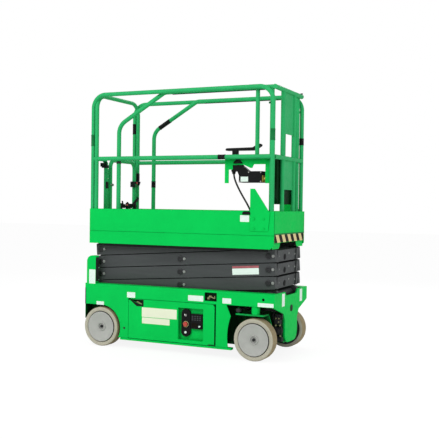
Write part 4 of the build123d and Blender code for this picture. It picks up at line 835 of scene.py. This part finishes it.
# ---- steering valves beside the front box ----------------------------------------------------------
def pipe(bm, points, radius):
    """Rigid bent pipe through the points, a ball at each bend."""
    for a, b in zip(points, points[1:]):
        a, b = Vector(a), Vector(b)
        rod(bm, a, b - a, radius, (b - a).length, 16)
    for p in points[1:-1]:
        bmesh.ops.create_uvsphere(bm, u_segments=16, v_segments=10, radius=radius * 1.02,
                                  matrix=Matrix.Translation(p))


def steering_valves():
    for side, sign in SIDES:
        def block(bm):
            box(bm, 0.762, 0.812, sign * 0.1405, sign * 0.182, 0.262, 0.322)
            box(bm, 0.765, 0.822, sign * 0.1405, sign * 0.172, 0.128, 0.162)
            rod(bm, (0.790, sign * 0.1405, 0.208), (0, sign, 0), 0.030, 0.040, 32, 0.0285)
            rod(bm, (0.790, sign * 0.1805, 0.208), (0, sign, 0), 0.018, 0.006, 24, 0.016)
            for x in (0.772, 0.787, 0.802):
                rod(bm, (x, sign * 0.170, 0.322), (0, 0, 1), 0.0075, 0.014, 6)
        piece(f"steering_valve_{side}", "chassis", IRON, block, bevel=0.002)

        def pipes(bm):
            for radius, *corners in (
                (0.0060, (0.772, 0.262), (0.772, 0.238), (0.760, 0.205), (0.770, 0.162)),
                (0.0060, (0.804, 0.262), (0.816, 0.242), (0.822, 0.205), (0.813, 0.162)),
                (0.0055, (0.812, 0.300), (0.824, 0.306), (0.824, 0.345), (0.806, 0.352)),
                (0.0055, (0.764, 0.290), (0.752, 0.296), (0.748, 0.330), (0.760, 0.350)),
            ):
                pipe(bm, [(x, sign * 0.176, z) for x, z in corners], radius)
        piece(f"steering_pipes_{side}", "chassis", RUBBER, pipes)

        def fittings(bm):
            for x, z in ((0.772, 0.246), (0.807, 0.248), (0.772, 0.168), (0.812, 0.168)):
                rod(bm, (x, sign * 0.176, z), (0, 0, 1), 0.0085, 0.011, 6)
            for x, z in ((0.775, 0.305), (0.798, 0.280), (0.800, 0.306)):
                rod(bm, (x, sign * 0.182, z), (0, sign, 0), 0.0060, 0.005, 6)
        piece(f"steering_fittings_{side}", "chassis", FLAP, fittings)


# ---- bolts -----------------------------------------------------------------------------------------
def bolts():
    for side, sign in SIDES:
        out = (0, sign, 0)

        def gusset(bm):
            for x, z in ((0.653, 1.066), (0.731, 1.066), (0.653, 0.993), (0.731, 0.993)):
                bolt(bm, (x, sign * GUSSET_FACE, z), out, 0.0075, 0.005)
        piece(f"gusset_bolts_{side}", "platform", PANEL, gusset)

        piece(f"chassis_bolts_{side}", "chassis", DARK_STEEL,
              lambda bm: bolt(bm, (-0.457, sign * SIDE, 0.163), out, 0.0065, 0.004))


# ---- control cable ---------------------------------------------------------------------------------
def control_cable():
    """From the housing under the joystick down to the roll-out deck."""
    route = [
        (0.433, -0.240, 1.427), (0.433, -0.240, 1.396), (0.446, -0.240, 1.354), (0.467, -0.240, 1.310),
        (0.493, -0.240, 1.264), (0.522, -0.240, 1.218), (0.552, -0.240, 1.172), (0.580, -0.240, 1.119),
        (0.600, -0.240, 1.056), (0.600, -0.240, 0.985),
    ]
    curve = bpy.data.curves.new("cable", "CURVE")
    curve.dimensions = "3D"
    curve.resolution_u = 24
    curve.bevel_depth = 0.007
    curve.bevel_resolution = 6
    curve.use_fill_caps = True
    spline = curve.splines.new("NURBS")
    spline.points.add(len(route) - 1)
    for point, place in zip(spline.points, route):
        point.co = (*place, 1.0)
    spline.order_u = 3
    spline.use_endpoint_u = True
    curve.materials.append(RUBBER)
    made = bpy.data.objects.new("cable", curve)
    bpy.context.scene.collection.objects.link(made)
    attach(made, "roll_out_deck")
    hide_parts("control_cable")
    gland = [(0.0, 0.0), (0.0165, 0.0), (0.0165, 0.007), (0.0140, 0.008), (0.0130, 0.018), (0.0085, 0.021),
             (0.0, 0.021)]
    piece("cable_gland_deck", "roll_out_deck", PLASTIC,
          lambda bm: lathe(bm, gland, route[-1], (0, 0, 1), 24))
    piece("cable_gland_housing", "roll_out_deck", PLASTIC,
          lambda bm: lathe(bm, gland, Vector(route[0]) + Vector((0, 0, 0.001)), (0, 0, -1), 24))


wheels()
control_cable()
scissor_details()
labels()
hazard_strip()
platform_front()
ground_control_details()
rail_fittings()
gate_fittings()
side_pockets()
chassis_corners()
platform_control_details()
steering_valves()
bolts()


# ---- light, floor and camera -----------------------------------------------------------------------
def area_lamp(name, place, target, size, power):
    data = bpy.data.lights.new(name, "AREA")
    data.shape = "DISK"
    data.size = size
    data.energy = power
    lamp = bpy.data.objects.new(name, data)
    bpy.context.scene.collection.objects.link(lamp)
    lamp.location = place
    lamp.rotation_euler = (Vector(target) - Vector(place)).to_track_quat("-Z", "Y").to_euler()


def studio():
    world = bpy.data.worlds.new("studio")
    bpy.context.scene.world = world
    world.use_nodes = True
    tree = world.node_tree
    background = tree.nodes["Background"]
    background.inputs["Color"].default_value = (1, 1, 1, 1)
    paths = tree.nodes.new("ShaderNodeLightPath")
    seen = tree.nodes.new("ShaderNodeMath")
    seen.operation = "MAXIMUM"
    tree.links.new(paths.outputs["Is Camera Ray"], seen.inputs[0])
    tree.links.new(paths.outputs["Is Transmission Ray"], seen.inputs[1])
    strength = tree.nodes.new("ShaderNodeMapRange")
    strength.inputs["To Min"].default_value = 0.60
    strength.inputs["To Max"].default_value = 1.0
    tree.links.new(seen.outputs["Value"], strength.inputs["Value"])
    tree.links.new(strength.outputs["Result"], background.inputs["Strength"])
    area_lamp("key", (-1.6, -4.6, 4.2), (0, 0, 0.9), 3.2, 120)
    area_lamp("fill", (4.4, -1.8, 2.4), (0, 0, 0.9), 2.6, 38)
    area_lamp("back", (-1.0, 4.5, 3.6), (0, 0, 1.0), 3.0, 70)

    bpy.ops.mesh.primitive_plane_add(size=60, location=(0, 0, 0))
    floor = bpy.context.object
    floor.name = "floor"
    mat = bpy.data.materials.new("pale_floor")
    mat.use_nodes = True
    tree = mat.node_tree
    tree.nodes["Principled BSDF"].inputs["Base Color"].default_value = (0.86, 0.86, 0.86, 1)
    tree.nodes["Principled BSDF"].inputs["Roughness"].default_value = 0.9
    glow = tree.nodes.new("ShaderNodeEmission")
    glow.inputs["Strength"].default_value = 1.08
    blend = tree.nodes.new("ShaderNodeMixShader")
    paths = tree.nodes.new("ShaderNodeLightPath")
    share = tree.nodes.new("ShaderNodeMath")
    share.operation = "MULTIPLY"
    share.inputs[1].default_value = 0.82
    tree.links.new(paths.outputs["Is Camera Ray"], share.inputs[0])
    tree.links.new(share.outputs["Value"], blend.inputs["Fac"])
    tree.links.new(tree.nodes["Principled BSDF"].outputs[0], blend.inputs[1])
    tree.links.new(glow.outputs[0], blend.inputs[2])
    tree.links.new(blend.outputs[0], tree.nodes["Material Output"].inputs["Surface"])
    floor.data.materials.append(mat)
    bpy.context.scene.view_settings.view_transform = "Standard"


def camera():
    yaw, pitch, roll = (math.radians(v) for v in (24.7, 1.03, 0.79))
    forward = Vector((-math.sin(yaw) * math.cos(pitch), math.cos(yaw) * math.cos(pitch), -math.sin(pitch)))
    level = Vector((math.cos(yaw), math.sin(yaw), 0))
    above = level.cross(forward)
    right = level * math.cos(roll) + above * math.sin(roll)
    up = above * math.cos(roll) - level * math.sin(roll)
    data = bpy.data.cameras.new("camera")
    data.lens = 64.25
    data.sensor_width = 36.0
    data.clip_end = 100
    made = bpy.data.objects.new("camera", data)
    bpy.context.scene.collection.objects.link(made)
    matrix = Matrix((right, up, -forward)).transposed().to_4x4()
    matrix.translation = (2.8714, -5.7956, 1.1634)
    made.matrix_world = matrix
    bpy.context.scene.camera = made


studio()
camera()
